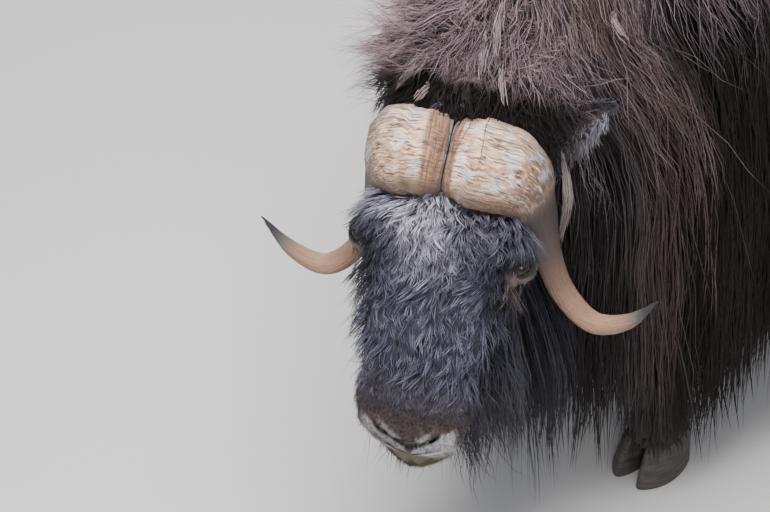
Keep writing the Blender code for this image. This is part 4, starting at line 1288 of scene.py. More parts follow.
def cut_short(paths, outward):
    """Paths that end before their first near point. Returns them with the kept ones' index;
    a path that would keep less than a third of its length is left out."""
    points_each = paths.shape[1]
    hit = hits_feature(paths)
    first = np.where(hit.any(axis=1), hit.argmax(axis=1) - 1.0, points_each - 1.0)
    kept = np.flatnonzero(first >= (points_each - 1) / 3)
    share = np.linspace(0, 1, points_each)[None, :] * (first[kept] / (points_each - 1))[:, None]
    return read_path(paths[kept], share), unit(read_path(outward[kept], share)), kept

# %% [markdown]
# ## The lie of the coat
#
# Hair follows the body: forwards over the neck, backwards over the back, down the sides, and
# plumb where nothing carries it. A guide grows step by step. Each step follows the lie, and a
# guide that sinks below its own height over the body is lifted out again, as a real lock is
# carried by those beneath it.

# %% The lie of the coat
LIE = np.array([
    # y, and how much the hair runs backwards there on the back and on the sides
    (-0.95, -2.6, 0.62),
    (-0.62, -1.9, 0.66),
    (-0.42, -0.3, 0.4),
    (-0.15, 1.3, 0.2),
    (0.4, 1.7, 0.18),
    (1.0, 1.8, 0.24),
])
SWIRLS = ((0.3, 0.3, 21), (0.32, 0.11, 22))  # strength, size in metres and seed of each
PLUMB, PLUMB_WANDER = np.array([0.0, 0.06, -1.0]), 0.1


def wind(points, size, seed):
    """A smooth random-looking field of level vectors."""
    return np.stack([ripples(points, size, seed), ripples(points, size, seed + 1), 0 * points[..., 0]], -1)


def lie(points, outward):
    """The wish to run down and along the body, freed of its part along the way out."""
    y = points[..., 1]
    on_top, on_side = (smooth(LIE[:, 0], LIE[:, i], y) for i in (1, 2))
    upward = np.clip(outward[..., 2], 0.0, 1.0)
    side = np.where(points[..., 0] >= trunk_shift(y), 1.0, -1.0)
    wish = np.stack([side * upward, on_side + (on_top - on_side) * upward**1.5, -1 + 0 * y], -1)
    flow = unit(wish - dot(wish, outward) * outward)
    swirl = sum(strength * ripples(points, size, seed) for strength, size, seed in SWIRLS)
    flow = unit(flow + np.cross(outward, flow) * swirl[..., None])
    hanging = np.clip((0.3 - outward[..., 2]) / 0.5, 0.0, 1.0)[..., None]
    fall = PLUMB + PLUMB_WANDER * wind(points, 0.16, 23)
    return unit(flow * (1 - hanging) + fall * hanging)


def draped(roots, lengths, heights, steps, sunk):
    """Guide paths over the trunk that end at their own heights over it: (count, steps + 1)."""
    outward = trunk_normal(roots)[1]
    path, out = [roots - outward * sunk], [outward]
    place = roots + outward * (heights * 0.25)[:, None]
    for i in range(steps):
        outward = trunk_normal(place)[1]
        place = place + lie(place, outward) * (lengths / steps)[:, None]
        for _ in range(2):
            height, outward = trunk_normal(place)
            lift = heights * (0.45 + 0.55 * (i + 1) / steps)
            place = place + outward * np.maximum(lift - height, 0)[:, None]
        path.append(place)
        out.append(outward)
    return np.stack(path, axis=1), np.stack(out, axis=1)

# %% [markdown]
# ## The long coat's lengths
#
# The outer coat is longest on the flanks and chest, where it hangs to the shins, and shorter
# and woolly over the hump and neck. No tip may fall below the hem, which is uneven and runs
# lower in front.

# %% The long coat's lengths
COAT_GUIDES = int(3420 * SHARE_OF_COAT)
COAT_SPAN = (-0.925, 1.043)
ALL_ROUND = (-math.pi, math.pi)
DEGREES_FROM_BACK = [0, 36, 60, 84, 110, 140, 180]
COAT_LENGTHS = [0.2, 0.24, 0.32, 0.42, 0.46, 0.36, 0.22]
CHEST_LONGER = 0.9
FRONT_HEM_LOWER = 0.125


def coat_density(y, angle):
    """More guides where the photograph shows the coat: on the neck and shoulders."""
    under = ramp(2.2, 2.9, np.abs(angle))
    front = ramp(-0.1, -0.5, y)
    return (0.75 + 1.45 * front) * (1 - (0.75 - 0.45 * front) * under)


y, angle = scattered(trunk_point, COAT_SPAN, ALL_ROUND, COAT_GUIDES, coat_density)
roots = trunk_point(y, angle)
degrees = np.degrees(np.abs(angle))
front = np.interp(y, [-0.93, -0.8, -0.6], [0.4, 0.62, 1.0])
lengths = np.interp(degrees, DEGREES_FROM_BACK, COAT_LENGTHS)
lengths = lengths * (front + (1 - front) * np.minimum(degrees / 130, 1) ** 2)
chest = ramp(70, 85, degrees) * bell(y, -0.55, 0.25)
lengths = lengths * (1 + CHEST_LONGER * chest) * RANDOM.uniform(0.82, 1.15, COAT_GUIDES)
hem = HEM - FRONT_HEM_LOWER * ramp(-0.25, -0.55, y)
lowest_tip = hem + RANDOM.uniform(0.0, 0.1, COAT_GUIDES) + 0.03 * ripples(roots, 0.12, 31)
lengths = np.where(degrees > 135, roots[:, 2] - lowest_tip, lengths)
lengths = np.minimum(lengths, np.maximum(roots[:, 2] - lowest_tip, 0.05) * 1.06)
print("coat lengths from", lengths.min().round(3), "to", lengths.max().round(3))

# %% [markdown]
# ## The long coat's strands
#
# Each guide carries a clump of strands, because weathered wool parts into clumps. The colour
# comes from the markings at the root. It varies from clump to clump and from strand to strand,
# and pales to the tips, most on the mane and least low on the trunk: partly pale hair ends and
# partly a painted highlight, lit from above. Strands are finest on the neck.

# %% The long coat's strands
STRANDS_PER_GUIDE = 6
COAT_POINTS = 6
BODY_FROM, BODY_LENGTH = -0.93, 1.98  # the stretch of the body that the unwrap covers


def body_unwrap(y, angle):
    """Places on the unwrap of the trunk."""
    return unwrapped((y - BODY_FROM) / BODY_LENGTH, angle)


heights = RANDOM.uniform(0.008, 0.052, COAT_GUIDES)
guides, outward = draped(roots, lengths, heights, COAT_POINTS - 1, sunk=0.02)
guides, outward, kept = cut_short(guides, outward)
roots, y, angle = (part[kept] for part in (roots, y, angle))
loose = np.repeat(np.interp(y, [-0.55, -0.2], [0.016, 0.01]), STRANDS_PER_GUIDE)
paths, outward, guide = clumped(
    guides, outward, STRANDS_PER_GUIDE, spread=0.015, gather=0.55, wave=0.006, wavelength=0.085, loose=loose
)
own = RANDOM.normal(1.0, 0.2, len(roots))[guide][:, None]
tones = strand_tones(marking(roots)[guide] * np.clip(own, 0.5, 1.6), COAT_POINTS, 0.45, 1.0, 0.18)
# paler tips: pale hair ends and a painted highlight, weaker below a metre as painted shade
tips = np.interp(y, [-0.6, 0.1], [1.75, 1.45]) * np.interp(roots[:, 2], [0.8, 1.0], [0.6, 1.0])
tones = tones * (1 + (tips[guide][:, None, None] - 1) * shares(COAT_POINTS) ** 2)
# near black behind the boss: dark hair and a painted shadow under the mane
tones = blended(tones, CROWN_DARK_AND_SHADOW, dark_and_shadow_behind_boss(paths))
breadth = np.interp(y, [-0.66, -0.58, -0.5, -0.1], [0.75, 0.9, 1.0, 1.7])
under = ramp(85, 120, np.degrees(np.abs(angle)))
breadth = breadth * (1 + 1.5 * under * ramp(-0.2, -0.4, y))
widths = RANDOM.uniform(0.0008, 0.0016, len(paths)) * breadth[guide]
unwrap = jittered(body_unwrap(y, angle)[guide], 0.004)
order = np.argsort(y[guide], kind="stable")
sorted_parts = (part[order] for part in (paths, outward, widths, tones, unwrap))
coat_piece("coat", *sorted_parts, COAT_PAINT, "coat")

# %% [markdown]
# ## How the face's fur grows
#
# The face wears short shaggy fur that runs down to the nose. It is shortest on the muzzle and
# round the eyes, and longest on the cheeks and jaw. Its roots are closest on the muzzle and
# before the boss. On the cheeks and the forehead it turns in whorls.

# %% How the face's fur grows
def face_length(local):
    """The fur's length by place: 4 to 9 cm on the cheeks, shorter to the nose and eyes."""
    x, y, z = axes(folded(local))
    length = 0.04 + 0.024 * ramp(0.075, 0.115, x) + 0.01 * ramp(0.03, -0.06, z)
    jaw = ramp(0.085, 0.11, x) * ramp(-0.22, -0.3, y) * ramp(0.03, -0.03, z)
    length = (length + 0.03 * jaw) * (1 - 0.8 * ramp(-0.42, -0.53, y))
    eyes = bump_at(folded(local), EYE + [0, 0.006, 0], [0.05, 0.038, 0.045])
    return length * (1 - 0.72 * eyes)


def face_density(y, angle):
    """Closer roots where the fur is short, and none under the horns' boss, on the lips, round
    the eyes or along the upper edge of the slits."""
    place = head_outline(y, angle)
    x, z = np.abs(place[..., 0]), place[..., 2]
    on_top = z > 0.04
    density = 1 + 2.2 * ramp(-0.42, -0.5, y) + 0.4 * ramp(-0.36, -0.22, y) * on_top
    density = density + 2.4 * bell(y, -0.2, 0.035) * on_top
    boss = ramp(-0.168, -0.15, y) * ramp(0.02, 0.05, z) * ramp(0.02, 0.04, x)
    lips = ramp(-0.43, -0.47, y) * bell(z, mouth_line(y), 0.006)
    mirror = np.stack([x, y + 0 * x, z], -1)
    eyes = bump_at(mirror, EYE + [0.002, -0.004, 0.014], [0.019, 0.022, 0.018])
    lower_lid = bump_at(mirror, EYE + [0.004, -0.023, 0.004], [0.014, 0.01, 0.016])
    eyes = np.clip(2.0 * eyes + 0.9 * lower_lid, 0, 1)
    slit = slit_at(x)
    above_slit = np.clip((y - slit + 0.004) / 0.004, 0, 1) * np.clip((0.011 - y + slit) / 0.003, 0, 1)
    above_slit = above_slit * ramp(0.064, 0.056, x) * (z > -0.045)
    return density * (1 - boss) * (1 - lips) * (1 - eyes) * (1 - above_slit)


WHORLS = [
    # x, y, z of the middle, reach, strength
    (0.1, -0.395, -0.045, 0.05, 2.2),
    (-0.1, -0.395, -0.045, 0.05, -2.2),
    (0.035, -0.33, 0.098, 0.03, 1.1),
    (-0.05, -0.265, 0.105, 0.035, -1.2),
    (-0.08, -0.33, 0.06, 0.035, 1.0),
    (0.06, -0.25, 0.1, 0.03, -1.0),
]


def whorled(flow, roots, normal):
    """A flow that turns about the middle of each whorl, as the hair on a cheek does."""
    for x, y, z, reach, strength in WHORLS:
        away = roots - [x, y, z]
        share = np.exp(-dot(away, away) / reach**2)
        flow = flow + strength * share * np.cross(normal, unit(away))
    flow = flow - dot(flow, normal) * normal
    return flow / np.maximum(np.linalg.norm(flow, axis=-1, keepdims=True), 1.0)

# %% [markdown]
# ## The face's guides
#
# Each guide starts on the head's skin, a little raised, and bends back along the head. It runs
# towards the nose, swirls a little to the sides, and stands up where the boss meets the face.

# %% The face's guides
FACE_GUIDES = int(4850 * SHARE_OF_COAT)
FACE_POINTS = 4
FACE_SPAN = (-0.566, 0.02)
DOWN = unit(np.array([0.0, 0.0, -1.0]) @ HEAD_TURN)

y, angle = scattered(head_outline, FACE_SPAN, ALL_ROUND, FACE_GUIDES, face_density)
roots, normal = head_skin(y, angle)
root_x, root_y, root_z = roots.T
step = 1e-3
nosewards = unit(head_outline(y - step, angle) - head_outline(y + step, angle))
around = np.cross(normal, nosewards)
swirl = 0.55 * ripples(roots, 0.1, 41) + 0.5 * ripples(roots, 0.04, 42)
swirl = (swirl + RANDOM.normal(0, 0.32, FACE_GUIDES)) * np.interp(root_y, [-0.5, -0.4], [0.35, 1.0])
at_boss = ramp(-0.225, -0.18, root_y) * ramp(0.02, 0.06, root_z)
at_boss = at_boss * ramp(0.125, 0.095, np.abs(root_x))
flow = nosewards * (1 - 0.75 * at_boss)[:, None] + around * (swirl * (1 - 0.6 * at_boss))[:, None]
flow = unit(flow) * (1 - 0.55 * at_boss)[:, None]
flow = whorled(flow + 0.15 * DOWN, roots, normal)
lengths = face_length(roots) * RANDOM.uniform(0.65, 1.2, FACE_GUIDES) * (1 + 0.35 * at_boss)
lift = RANDOM.uniform(0.3, 0.85, FACE_GUIDES) + 0.25 * ripples(roots, 0.05, 43) + 0.7 * at_boss
lift = lift * np.interp(root_y, [-0.53, -0.44], [0.3, 1.0])
share = shares(FACE_POINTS)
bend = normal[:, None] * (lift[:, None, None] * share * (1 - 0.5 * share) * 1.2 - 0.08 * (share == 0))
curl = 0.36 * ripples(roots, 0.05, 44) + RANDOM.normal(0, 0.2, FACE_GUIDES)
curl = around[:, None] * curl[:, None, None]
guides = roots[:, None] + lengths[:, None, None] * (flow[:, None] * share * 0.95 + bend + curl * share**2)
print("face fur has", FACE_GUIDES, "guides")

# %% [markdown]
# ## The face's strands
#
# Part of the strands end in a pale tip, partly pale hair and partly a painted sky reflection:
# most on the top of the head, nearly all on the midline before the boss, and few in the hollows
# round the eyes, which are painted as shade.

# %% The face's strands
FACE_CLUMP = 5  # strands for each guide
# pale tips: partly pale hair and partly a painted sky reflection
TIP_PALE = np.array([0.33, 0.32, 0.385])

paths, outward, guide = clumped(
    guides, normal, FACE_CLUMP, spread=0.0066, gather=0.55, wave=0.0012, wavelength=0.022, loose=0.0026
)
own = RANDOM.normal(1.0, 0.26, FACE_GUIDES)[guide][:, None]
base = face_marking(roots)[guide] * np.clip(own, 0.45, 1.7)
tones = strand_tones(base, FACE_POINTS, 0.45, 1.0, 0.26)
on_top = ramp(0.0, 0.07, root_z)[guide] * ramp(-0.5, -0.47, root_y)[guide]
# pale tips, most on top of the head: pale hair and a painted sky reflection, fewer where shade falls
pale_and_sky_lit = RANDOM.uniform(0, 1, FACE_GUIDES)[guide] ** 1.4 * RANDOM.uniform(0.55, 1.0, len(guide))
midline = bell(root_x, -0.028, 0.052) * ramp(-0.27, -0.19, root_y)
pale_and_sky_lit = np.maximum(pale_and_sky_lit * (0.3 + 0.7 * on_top), 0.9 * (midline * (root_z > 0.03))[guide])
# fewer pale tips in the eyes' hollows, which are painted shade
pale_and_sky_lit = pale_and_sky_lit * (1 - 0.8 * eye_hollow_shade(roots))[guide]
tips = np.maximum(TIP_PALE, base * 1.2)[:, None]
tones = tones + (tips - tones) * 0.95 * pale_and_sky_lit[:, None, None] * share**1.2
widths = RANDOM.uniform(0.0005, 0.001, len(paths)) * np.interp(root_y[guide], [-0.51, -0.42], [0.65, 1.0])
unwrap = jittered(unwrapped(-y / 0.59 + 0.03, angle)[guide], 0.006)
order = np.argsort(y[guide], kind="stable")
paths, outward = posed(paths), outward @ HEAD_TURN.T
sorted_parts = (part[order] for part in (paths, outward, widths, tones, unwrap))
coat_piece("face_fur", *sorted_parts, FACE_PAINT, "face")

# %% [markdown]
# ## The beard
#
# From the cheeks, jaw and throat hangs a dark beard that reaches below the muzzle. Its hair
# leaves the skin outwards and soon falls plumb, so each guide is a short walk in which the
# direction turns more towards the ground at every step. It stands out most on the left.

# %% The beard
BEARD_GUIDES = int(1250 * SHARE_OF_COAT)
BEARD_POINTS = 6
# dark beard hair, also used as painted shade under the jaw
BEARD_DARK_AND_SHADE = np.array([0.016, 0.014, 0.018])


def beard_density(y, angle):
    """Only on the lower half of the head, thickest along the jaw and throat."""
    upper_cheek = 0.45 * ramp(-0.34, -0.24, y) + 0.25 * (angle < 0)
    low_side = ramp(1.35 + upper_cheek, 1.75 + upper_cheek, np.abs(angle))
    return low_side * ramp(-0.5, -0.44, y) * (0.8 + 0.6 * ramp(-0.36, -0.2, y))


def falling(roots, first, lengths, steps, turn, wobble):
    """Paths that start along their first direction and bend towards the ground."""
    path, flow = [roots], first
    for _ in range(steps):
        blown = wobble * wind(path[-1], 0.1, 51)
        flow = unit(flow * (1 - turn) + np.array([0, 0.04, -1.0]) * turn + blown)
        path.append(path[-1] + flow * (lengths / steps)[:, None])
    return np.stack(path, axis=1)


y, angle = scattered(head_outline, (-0.49, 0.055), ALL_ROUND, BEARD_GUIDES, beard_density)
local_roots, normal = head_skin(y, angle)
roots, normal = posed(local_roots - normal * 0.004), normal @ HEAD_TURN.T
under = ramp(1.5, 2.6, np.abs(angle))
lengths = 0.09 + 0.12 * under + (0.2 + 0.06 * (angle > 0)) * ramp(-0.42, -0.22, y)
lengths = lengths * RANDOM.uniform(0.75, 1.15, BEARD_GUIDES)
nosewards = HEAD_TURN @ np.array([0, -1.0, 0])
proud = np.where(angle > 0, 0.95, 0.45)[:, None]
first = unit(normal * proud + nosewards * 0.3 + np.array([0, 0, -0.55]))
guides = falling(roots, first, lengths, BEARD_POINTS - 1, turn=0.42, wobble=0.14)
outward = unit((guides - posed([0, -0.25, -0.05])) * [1, 1, 0.2])
guides, outward, kept = cut_short(guides, outward)
y, angle, under = (part[kept] for part in (y, angle, under))
paths, outward, guide = clumped(
    guides, outward, 5, spread=0.013, gather=0.45, wave=0.006, wavelength=0.08, loose=0.012
)
# the beard's dark hair is darkened further towards its underside as painted shade, with fewer sky-lit pale
# tips there
base = blended(CHEEK * np.ones((len(y), 3)), BEARD_DARK_AND_SHADE, 0.35 + 0.5 * under)
tones = strand_tones(base[guide], BEARD_POINTS, 0.55, 1.15, 0.25)
pale_and_sky_lit = (RANDOM.uniform(0, 1, len(y)) ** 1.6 * (1 - 0.75 * under))[guide][:, None, None]
tones = tones + (TIP_PALE * 0.45 - tones) * 0.8 * pale_and_sky_lit * shares(BEARD_POINTS)
widths = RANDOM.uniform(0.0012, 0.0025, len(paths)) * np.interp(y, [-0.44, -0.34], [0.4, 1.0])[guide]
unwrap = unwrapped((0.06 - y) / 0.56, angle)[guide]
coat_piece("beard", paths, outward, widths, tones, unwrap, FACE_PAINT, "face")

# %% [markdown]
# ## The hood
#
# Short curly hair on the front of the neck frames the head from behind. It is longer and paler
# at the right of the boss, and near black close behind the boss: dark hair with a painted shadow.

# %% The hood
HOOD_GUIDES = int(430 * SHARE_OF_COAT)
HOOD_POINTS = 5
HOOD_SPAN, HOOD_ROUND = (-0.905, -0.76), (-1.35, 1.35)
HOOD_TINT = np.array([1.02, 0.96, 0.94])


def curled(roots, first, lengths, steps, turn, fall, seed):
    """Paths that leave along their first direction and turn by ripples, falling as they go."""
    paths = [roots]
    heading = unit(first)
    stride = (lengths / steps)[:, None]
    for step in range(steps):
        at = paths[-1]
        wander = np.stack([ripples(at, 0.05, seed + k) for k in range(3)], axis=-1)
        heading = unit(heading + turn * wander + np.array([0.0, 0.0, -fall * (step + 1) / steps]))
        paths.append(at + heading * stride)
    return np.stack(paths, axis=1)


def hood_density(y, angle):
    """Roots on the upper front of the neck, closest at its foremost edge."""
    foremost = ramp(-0.8, -0.9, y)
    return 1.0 + foremost * (1.5 * bell(angle, 0, 0.6) + 1.5 * ramp(-0.5, -0.9, angle))


y, angle = scattered(trunk_point, HOOD_SPAN, HOOD_ROUND, HOOD_GUIDES, hood_density)
roots = trunk_point(y, angle)
normal = trunk_normal(roots)[1]
forwards = np.array([0.1, -1.0, 0.1])
right = ramp(-0.3, -0.8, angle)
first = (0.85 + 0.5 * right)[:, None] * normal + forwards * RANDOM.uniform(0.4, 1.1, (HOOD_GUIDES, 1))
lengths = RANDOM.uniform(0.04, 0.08, HOOD_GUIDES) * (1 + 1.1 * right)
guides = curled(roots - 0.01 * normal, first, lengths, HOOD_POINTS - 1, turn=0.55, fall=0.4, seed=71)
paths, outward, guide = clumped(
    guides, normal, 11, spread=0.018, gather=0.25, wave=0.004, wavelength=0.035, loose=0.012
)
base = (trunk_marking(roots) * (1 + 0.9 * right)[:, None])[guide] * HOOD_TINT
base = base * RANDOM.normal(1.0, 0.22, (len(guide), 1)).clip(0.5, 1.6)
tones = strand_tones(base, HOOD_POINTS, 0.5, 1.45, 0.2)
# near black behind the boss: dark hair and a painted shadow under the mane
tones = blended(tones, CROWN_DARK_AND_SHADOW, dark_and_shadow_behind_boss(paths))
widths = RANDOM.uniform(0.0005, 0.0009, len(paths))
unwrap = jittered((body_unwrap(y, angle) * [0.94, 1] + [0.03, 0])[guide], 0.004)
coat_piece("hood", paths, outward, widths, tones, unwrap, COAT_PAINT, "coat")

# %% [markdown]
# ## The crown
#
# Behind the boss stands dark, dense hair as high as the boss itself, and it leans forwards over
# the boss's rear edge; its near black is partly the hair's own and partly a painted shadow. Each
# guide starts on the skin, rises, and only then curls to the front.

# %% The crown
CROWN_GUIDES = int(620 * SHARE_OF_COAT)
CROWN_SPAN, CROWN_ROUND = (-0.03, 0.045), (-1.7, 1.7)
CROWN_RISE = 0.034
CROWN_LOOKS = (0.5, 1.2, 0.3, 0.0009, 0.0016)

y, angle = scattered(head_outline, CROWN_SPAN, CROWN_ROUND, CROWN_GUIDES)
local_roots, normal = head_skin(y, angle)
sideways = 0.5 * np.sign(angle) * ramp(0.6, 1.5, np.abs(angle))
lean = -0.7 - 0.6 * ramp(0.04, 0.0, y)
away = np.stack([sideways, lean, 0.5 + 0 * y], axis=-1)
first = (normal * 0.25 + away * 0.8 + RANDOM.normal(0, 0.16, (CROWN_GUIDES, 3))) @ HEAD_TURN.T
rise = CROWN_RISE * RANDOM.uniform(0.6, 1.0, (CROWN_GUIDES, 1)) * np.array([0, 0.2, 1.0])
roots, raised, normal = posed(local_roots), posed(local_roots + rise), normal @ HEAD_TURN.T
lengths = RANDOM.uniform(0.04, 0.062, CROWN_GUIDES) * (1 + 0.5 * ramp(-0.5, -1.2, angle))
guides = curled(raised, first, lengths, 3, turn=0.3, fall=0.3, seed=75)
guides = np.concatenate([roots[:, None], guides], axis=1)
paths, outward, guide = clumped(
    guides, normal, 6, spread=0.009, gather=0.35, wave=0.003, wavelength=0.03, loose=0.005
)
unwrap = unwrapped(0.5 - y * 4, angle)[guide]
# the crown's near black is partly dark hair and partly a painted shadow
fur("crown_fur", paths, outward, CROWN_DARK_AND_SHADOW, CROWN_LOOKS, unwrap, 0.004, FACE_PAINT, "face")

# %% [markdown]
# ## Shed wool
#
# In spring the soft under-wool works out of the coat. It hangs in pale matted strips on the
# hood and the neck: fine hairs that run together along a line just over the coat.

# %% Shed wool
WOOL = np.array([0.25, 0.2, 0.195])
WOOL_LOOKS = (0.9, 1.1, 0.15, 0.0008, 0.0014)
WOOL_HEIGHT = 0.052
WOOL_STRIPS = np.array([
    # y and angle in degrees on the neck, length of the strip
    (-0.85, 13.0, 0.09),
    (-0.8, 12.0, 0.12),
    (-0.76, 4.0, 0.1),
    (-0.87, 31.0, 0.07),
    (-0.91, -36.0, 0.04),
    (-0.925, -12.0, 0.03),
    (-0.8, -35.0, 0.05),
    (-0.69, 48.0, 0.06),
    (-0.56, 20.0, 0.06),
])


def matted(guides, count, width):
    """A wisp along each guide: hairs that start and end at their own shares of it and lie
    beside it by a random offset, which falls to nothing at the wisp's ends."""
    total = len(guides) * count
    guide = np.repeat(np.arange(len(guides)), count)
    start = RANDOM.uniform(0.0, 0.5, (total, 1))
    share = start + RANDOM.uniform(0.3, 0.5, (total, 1)) * np.linspace(0, 1, 6)[None, :]
    narrowing = np.sqrt(np.sin(math.pi * np.clip(share, 0, 1)))[..., None]
    line = read_path(guides[guide], share) + RANDOM.normal(0, width, (total, 1, 3)) * narrowing
    frizz = np.stack([ripples(line, 0.012, 81 + k) for k in range(3)], axis=-1)
    return line + 0.3 * width * frizz, guide


y, degrees, lengths = WOOL_STRIPS.T
roots = trunk_point(y, np.radians(degrees))
guides, outward = draped(roots, lengths, np.full(len(y), WOOL_HEIGHT), 7, sunk=-0.04)
paths, guide = matted(guides, 26, 0.0032)
outward = np.repeat(outward[guide, 3:4], 6, axis=1)
unwrap = np.stack([(y - BODY_FROM) / BODY_LENGTH + 0.03, degrees / 360 + 0.5], axis=-1)[guide]
fur("shed_wool", paths, outward, WOOL, WOOL_LOOKS, unwrap, 0.01, COAT_PAINT, "coat")

# %% [markdown]
# ## The ears' hair
#
# The ears are small and woolly. Soft grey hair covers their backs, and a paler fringe hangs
# from their lower edges, longest at the root.

# %% The ears' hair
EAR_GREY = np.array([0.04, 0.038, 0.048])
EAR_WOOL = np.array([0.19, 0.185, 0.215])
EAR_HAIRS, EAR_LOOKS = int(350 * SHARE_OF_COAT), (0.7, 1.7, 0.25, 0.0008, 0.0014)
FRINGE_HAIRS, FRINGE_LOOKS = int(95 * SHARE_OF_COAT), (0.7, 1.2, 0.3, 0.0007, 0.0013)


def ear_hair(side, count):
    """Short hair over both faces of the ear, each bending towards its tip."""
    t, s = RANDOM.uniform(-0.02, 0.96, count), RANDOM.uniform(-0.98, 0.98, count)
    outer = RANDOM.uniform(0, 1, count) < 0.6
    back, cup = ear_surface(side, t, s, True), ear_surface(side, t, s, False)
    roots = np.where(outer[:, None], back, cup)
    _, _, ahead, _, hollow = ear_frame(side)
    out = hollow * np.where(outer, -1.0, 1.0)[:, None]
    turn = np.array([[side, 1.0, 1.0]])
    out, ahead = (out * turn) @ HEAD_TURN.T, (ahead * turn) @ HEAD_TURN.T
    lengths = RANDOM.uniform(0.009, 0.015, count)
    first = unit(ahead + out * 0.22 + RANDOM.normal(0, 0.12, (count, 3)))
    guides = falling(roots, first, lengths, 3, turn=0.06, wobble=0.1)
    return guides, out, np.stack([t, s], -1)


def ear_fringe(side, count):
    """Longer hair that hangs from the ear's lower edge, longest near the ear's root."""
    t = RANDOM.uniform(0.0, 0.85, count)
    s = EAR_LOWER_EDGE * RANDOM.uniform(0.55, 1.0, count)
    roots = ear_surface(side, t, s, False)
    lengths = np.interp(t, [0, 0.4, 0.85], [0.085, 0.06, 0.03]) * RANDOM.uniform(0.6, 1.1, count)
    _, _, _, across, hollow = ear_frame(side)
    out = ((hollow * 0.8 + across * EAR_LOWER_EDGE * 0.4) * [side, 1, 1]) @ HEAD_TURN.T
    first = unit(out + RANDOM.normal(0, 0.18, (count, 3)) + np.array([0, 0, -0.9]))
    guides = falling(roots, first, lengths, 5, turn=0.35, wobble=0.15)
    return guides, out, np.stack([t, s], -1)


for side, name in SIDES:
    guides, outward, place = ear_hair(side, EAR_HAIRS)
    paths, outward, guide = clumped(guides, outward, 3, spread=0.004, gather=0.5, loose=0.001)
    fur(f"ear_hair_{name}", paths, outward, EAR_GREY, EAR_LOOKS, place[guide], 0, FACE_PAINT, "ear")
    guides, outward, place = ear_fringe(side, FRINGE_HAIRS)
    paths, outward, guide = clumped(
        guides, outward, 4, spread=0.005, gather=0.5, wave=0.002, wavelength=0.04, loose=0.004
    )
    fur(f"ear_fringe_{name}", paths, outward, EAR_WOOL, FRINGE_LOOKS, place[guide], 0, FACE_PAINT, "ear")

# %% [markdown]
# ## The strip of wool under the left ear
#
# One longer strip of matted wool hangs from the root of the left ear. Its line leaves the ear
# outwards in a quarter of a sine wave and then hangs straight down.

# %% The strip of wool under the left ear
EAR_STRIP_HANGS, EAR_STRIP_STANDS_OUT = 0.185, 0.052

steps = np.linspace(0, 1, 9)
top = ear_surface(1, np.array([0.12]), np.array([EAR_LOWER_EDGE]), False)[0]
hanging = np.stack([0.004 + 0.004 * np.sin(steps * 5), -0.02 * steps, -EAR_STRIP_HANGS * steps], axis=-1)
proud = EAR_STRIP_STANDS_OUT * np.sin(0.5 * math.pi * np.minimum(steps * 1.6, 1))[:, None]
guides = (top + hanging + proud * np.array([0.8, -0.45, 0.4]))[None]
paths, _ = matted(guides, 90, 0.0034)
outward = np.broadcast_to(unit(np.array([0.5, -0.6, 0.4])), paths.shape)
tones = strand_tones(np.broadcast_to(WOOL, (len(paths), 3)), 6, 0.75, 1.0, 0.2)
unwrap = RANDOM.uniform(0.05, 0.95, (len(paths), 2))
widths = RANDOM.uniform(0.0008, 0.0014, len(paths))
coat_piece("ear_wool", paths, outward, widths, tones, unwrap, FACE_PAINT, "ear")

# %% [markdown]
# ## Lids' hair and lashes
#
# Short hair covers the lids and is combed off the eye, paler below it. Stiff lashes stand on
# the edge of the upper lids, dark, but pale at the corner next to the nose.

# %% Lids' hair and lashes
LID_HAIRS, LID_LOOKS = int(800 * SHARE_OF_COAT), (0.8, 1.1, 0.25, 0.0004, 0.0007)
LASHES, LASH_HALF_WIDTH = 36, 0.00045


def lashes(side, count):
    """Short curved hairs from the upper lid's margin, leaning out and down."""
    centre, face, ahead, upward = eye_frame(side)
    turn = np.linspace(math.radians(8), math.radians(172), count)[:, None]
    margin = np.hypot(np.cos(turn) * LID_HALF_LENGTH, np.sin(turn) * LID_RISE) / EYE_RADIUS
    ring = np.cos(turn) * ahead + np.sin(turn) * upward
    root = centre + (EYE_RADIUS + LID_THICKNESS) * (face * np.cos(margin) + ring * np.sin(margin))
    lengths = RANDOM.uniform(0.006, 0.011, (count, 1, 1))
    reach = shares(4)
    spread = ring[:, None] * 0.55 * reach - upward * 0.35 * reach**2
    path = root[:, None] + lengths * (face * 0.85 * reach + spread)
    return posed(path), np.broadcast_to((ring @ HEAD_TURN.T)[:, None], path.shape), turn[:, 0]


def lid_hair(side, count):
    """Short hair over the lids' shell from near the margin to its rim, combed off the eye."""
    centre, face, ahead, upward = eye_frame(side)
    turn = RANDOM.uniform(0, TURN, (count, 1))
    share = RANDOM.uniform(0.16, 1.0, (count, 1)) ** 0.7
    polar = 0.55 + (2.0 - 0.55) * share
    ring = np.cos(turn) * ahead + np.sin(turn) * upward
    out = face * np.cos(polar) + ring * np.sin(polar)
    radius = EYE_RADIUS + 0.0022 + LID_SPREAD * (share * 0.93) ** 1.4
    root = centre + out * radius
    combed = unit(ring * np.cos(polar) - face * np.sin(polar)) + 0.55 * out - 0.35 * upward
    combed = combed + RANDOM.normal(0, 0.22, (count, 3))
    reach = shares(4) * (0.006 + 0.01 * share)[..., None]
    path = root[:, None] + unit(combed)[:, None] * reach - out[:, None] * reach * np.abs(reach) * 25
    return posed(path), np.broadcast_to((out @ HEAD_TURN.T)[:, None], path.shape), turn, share


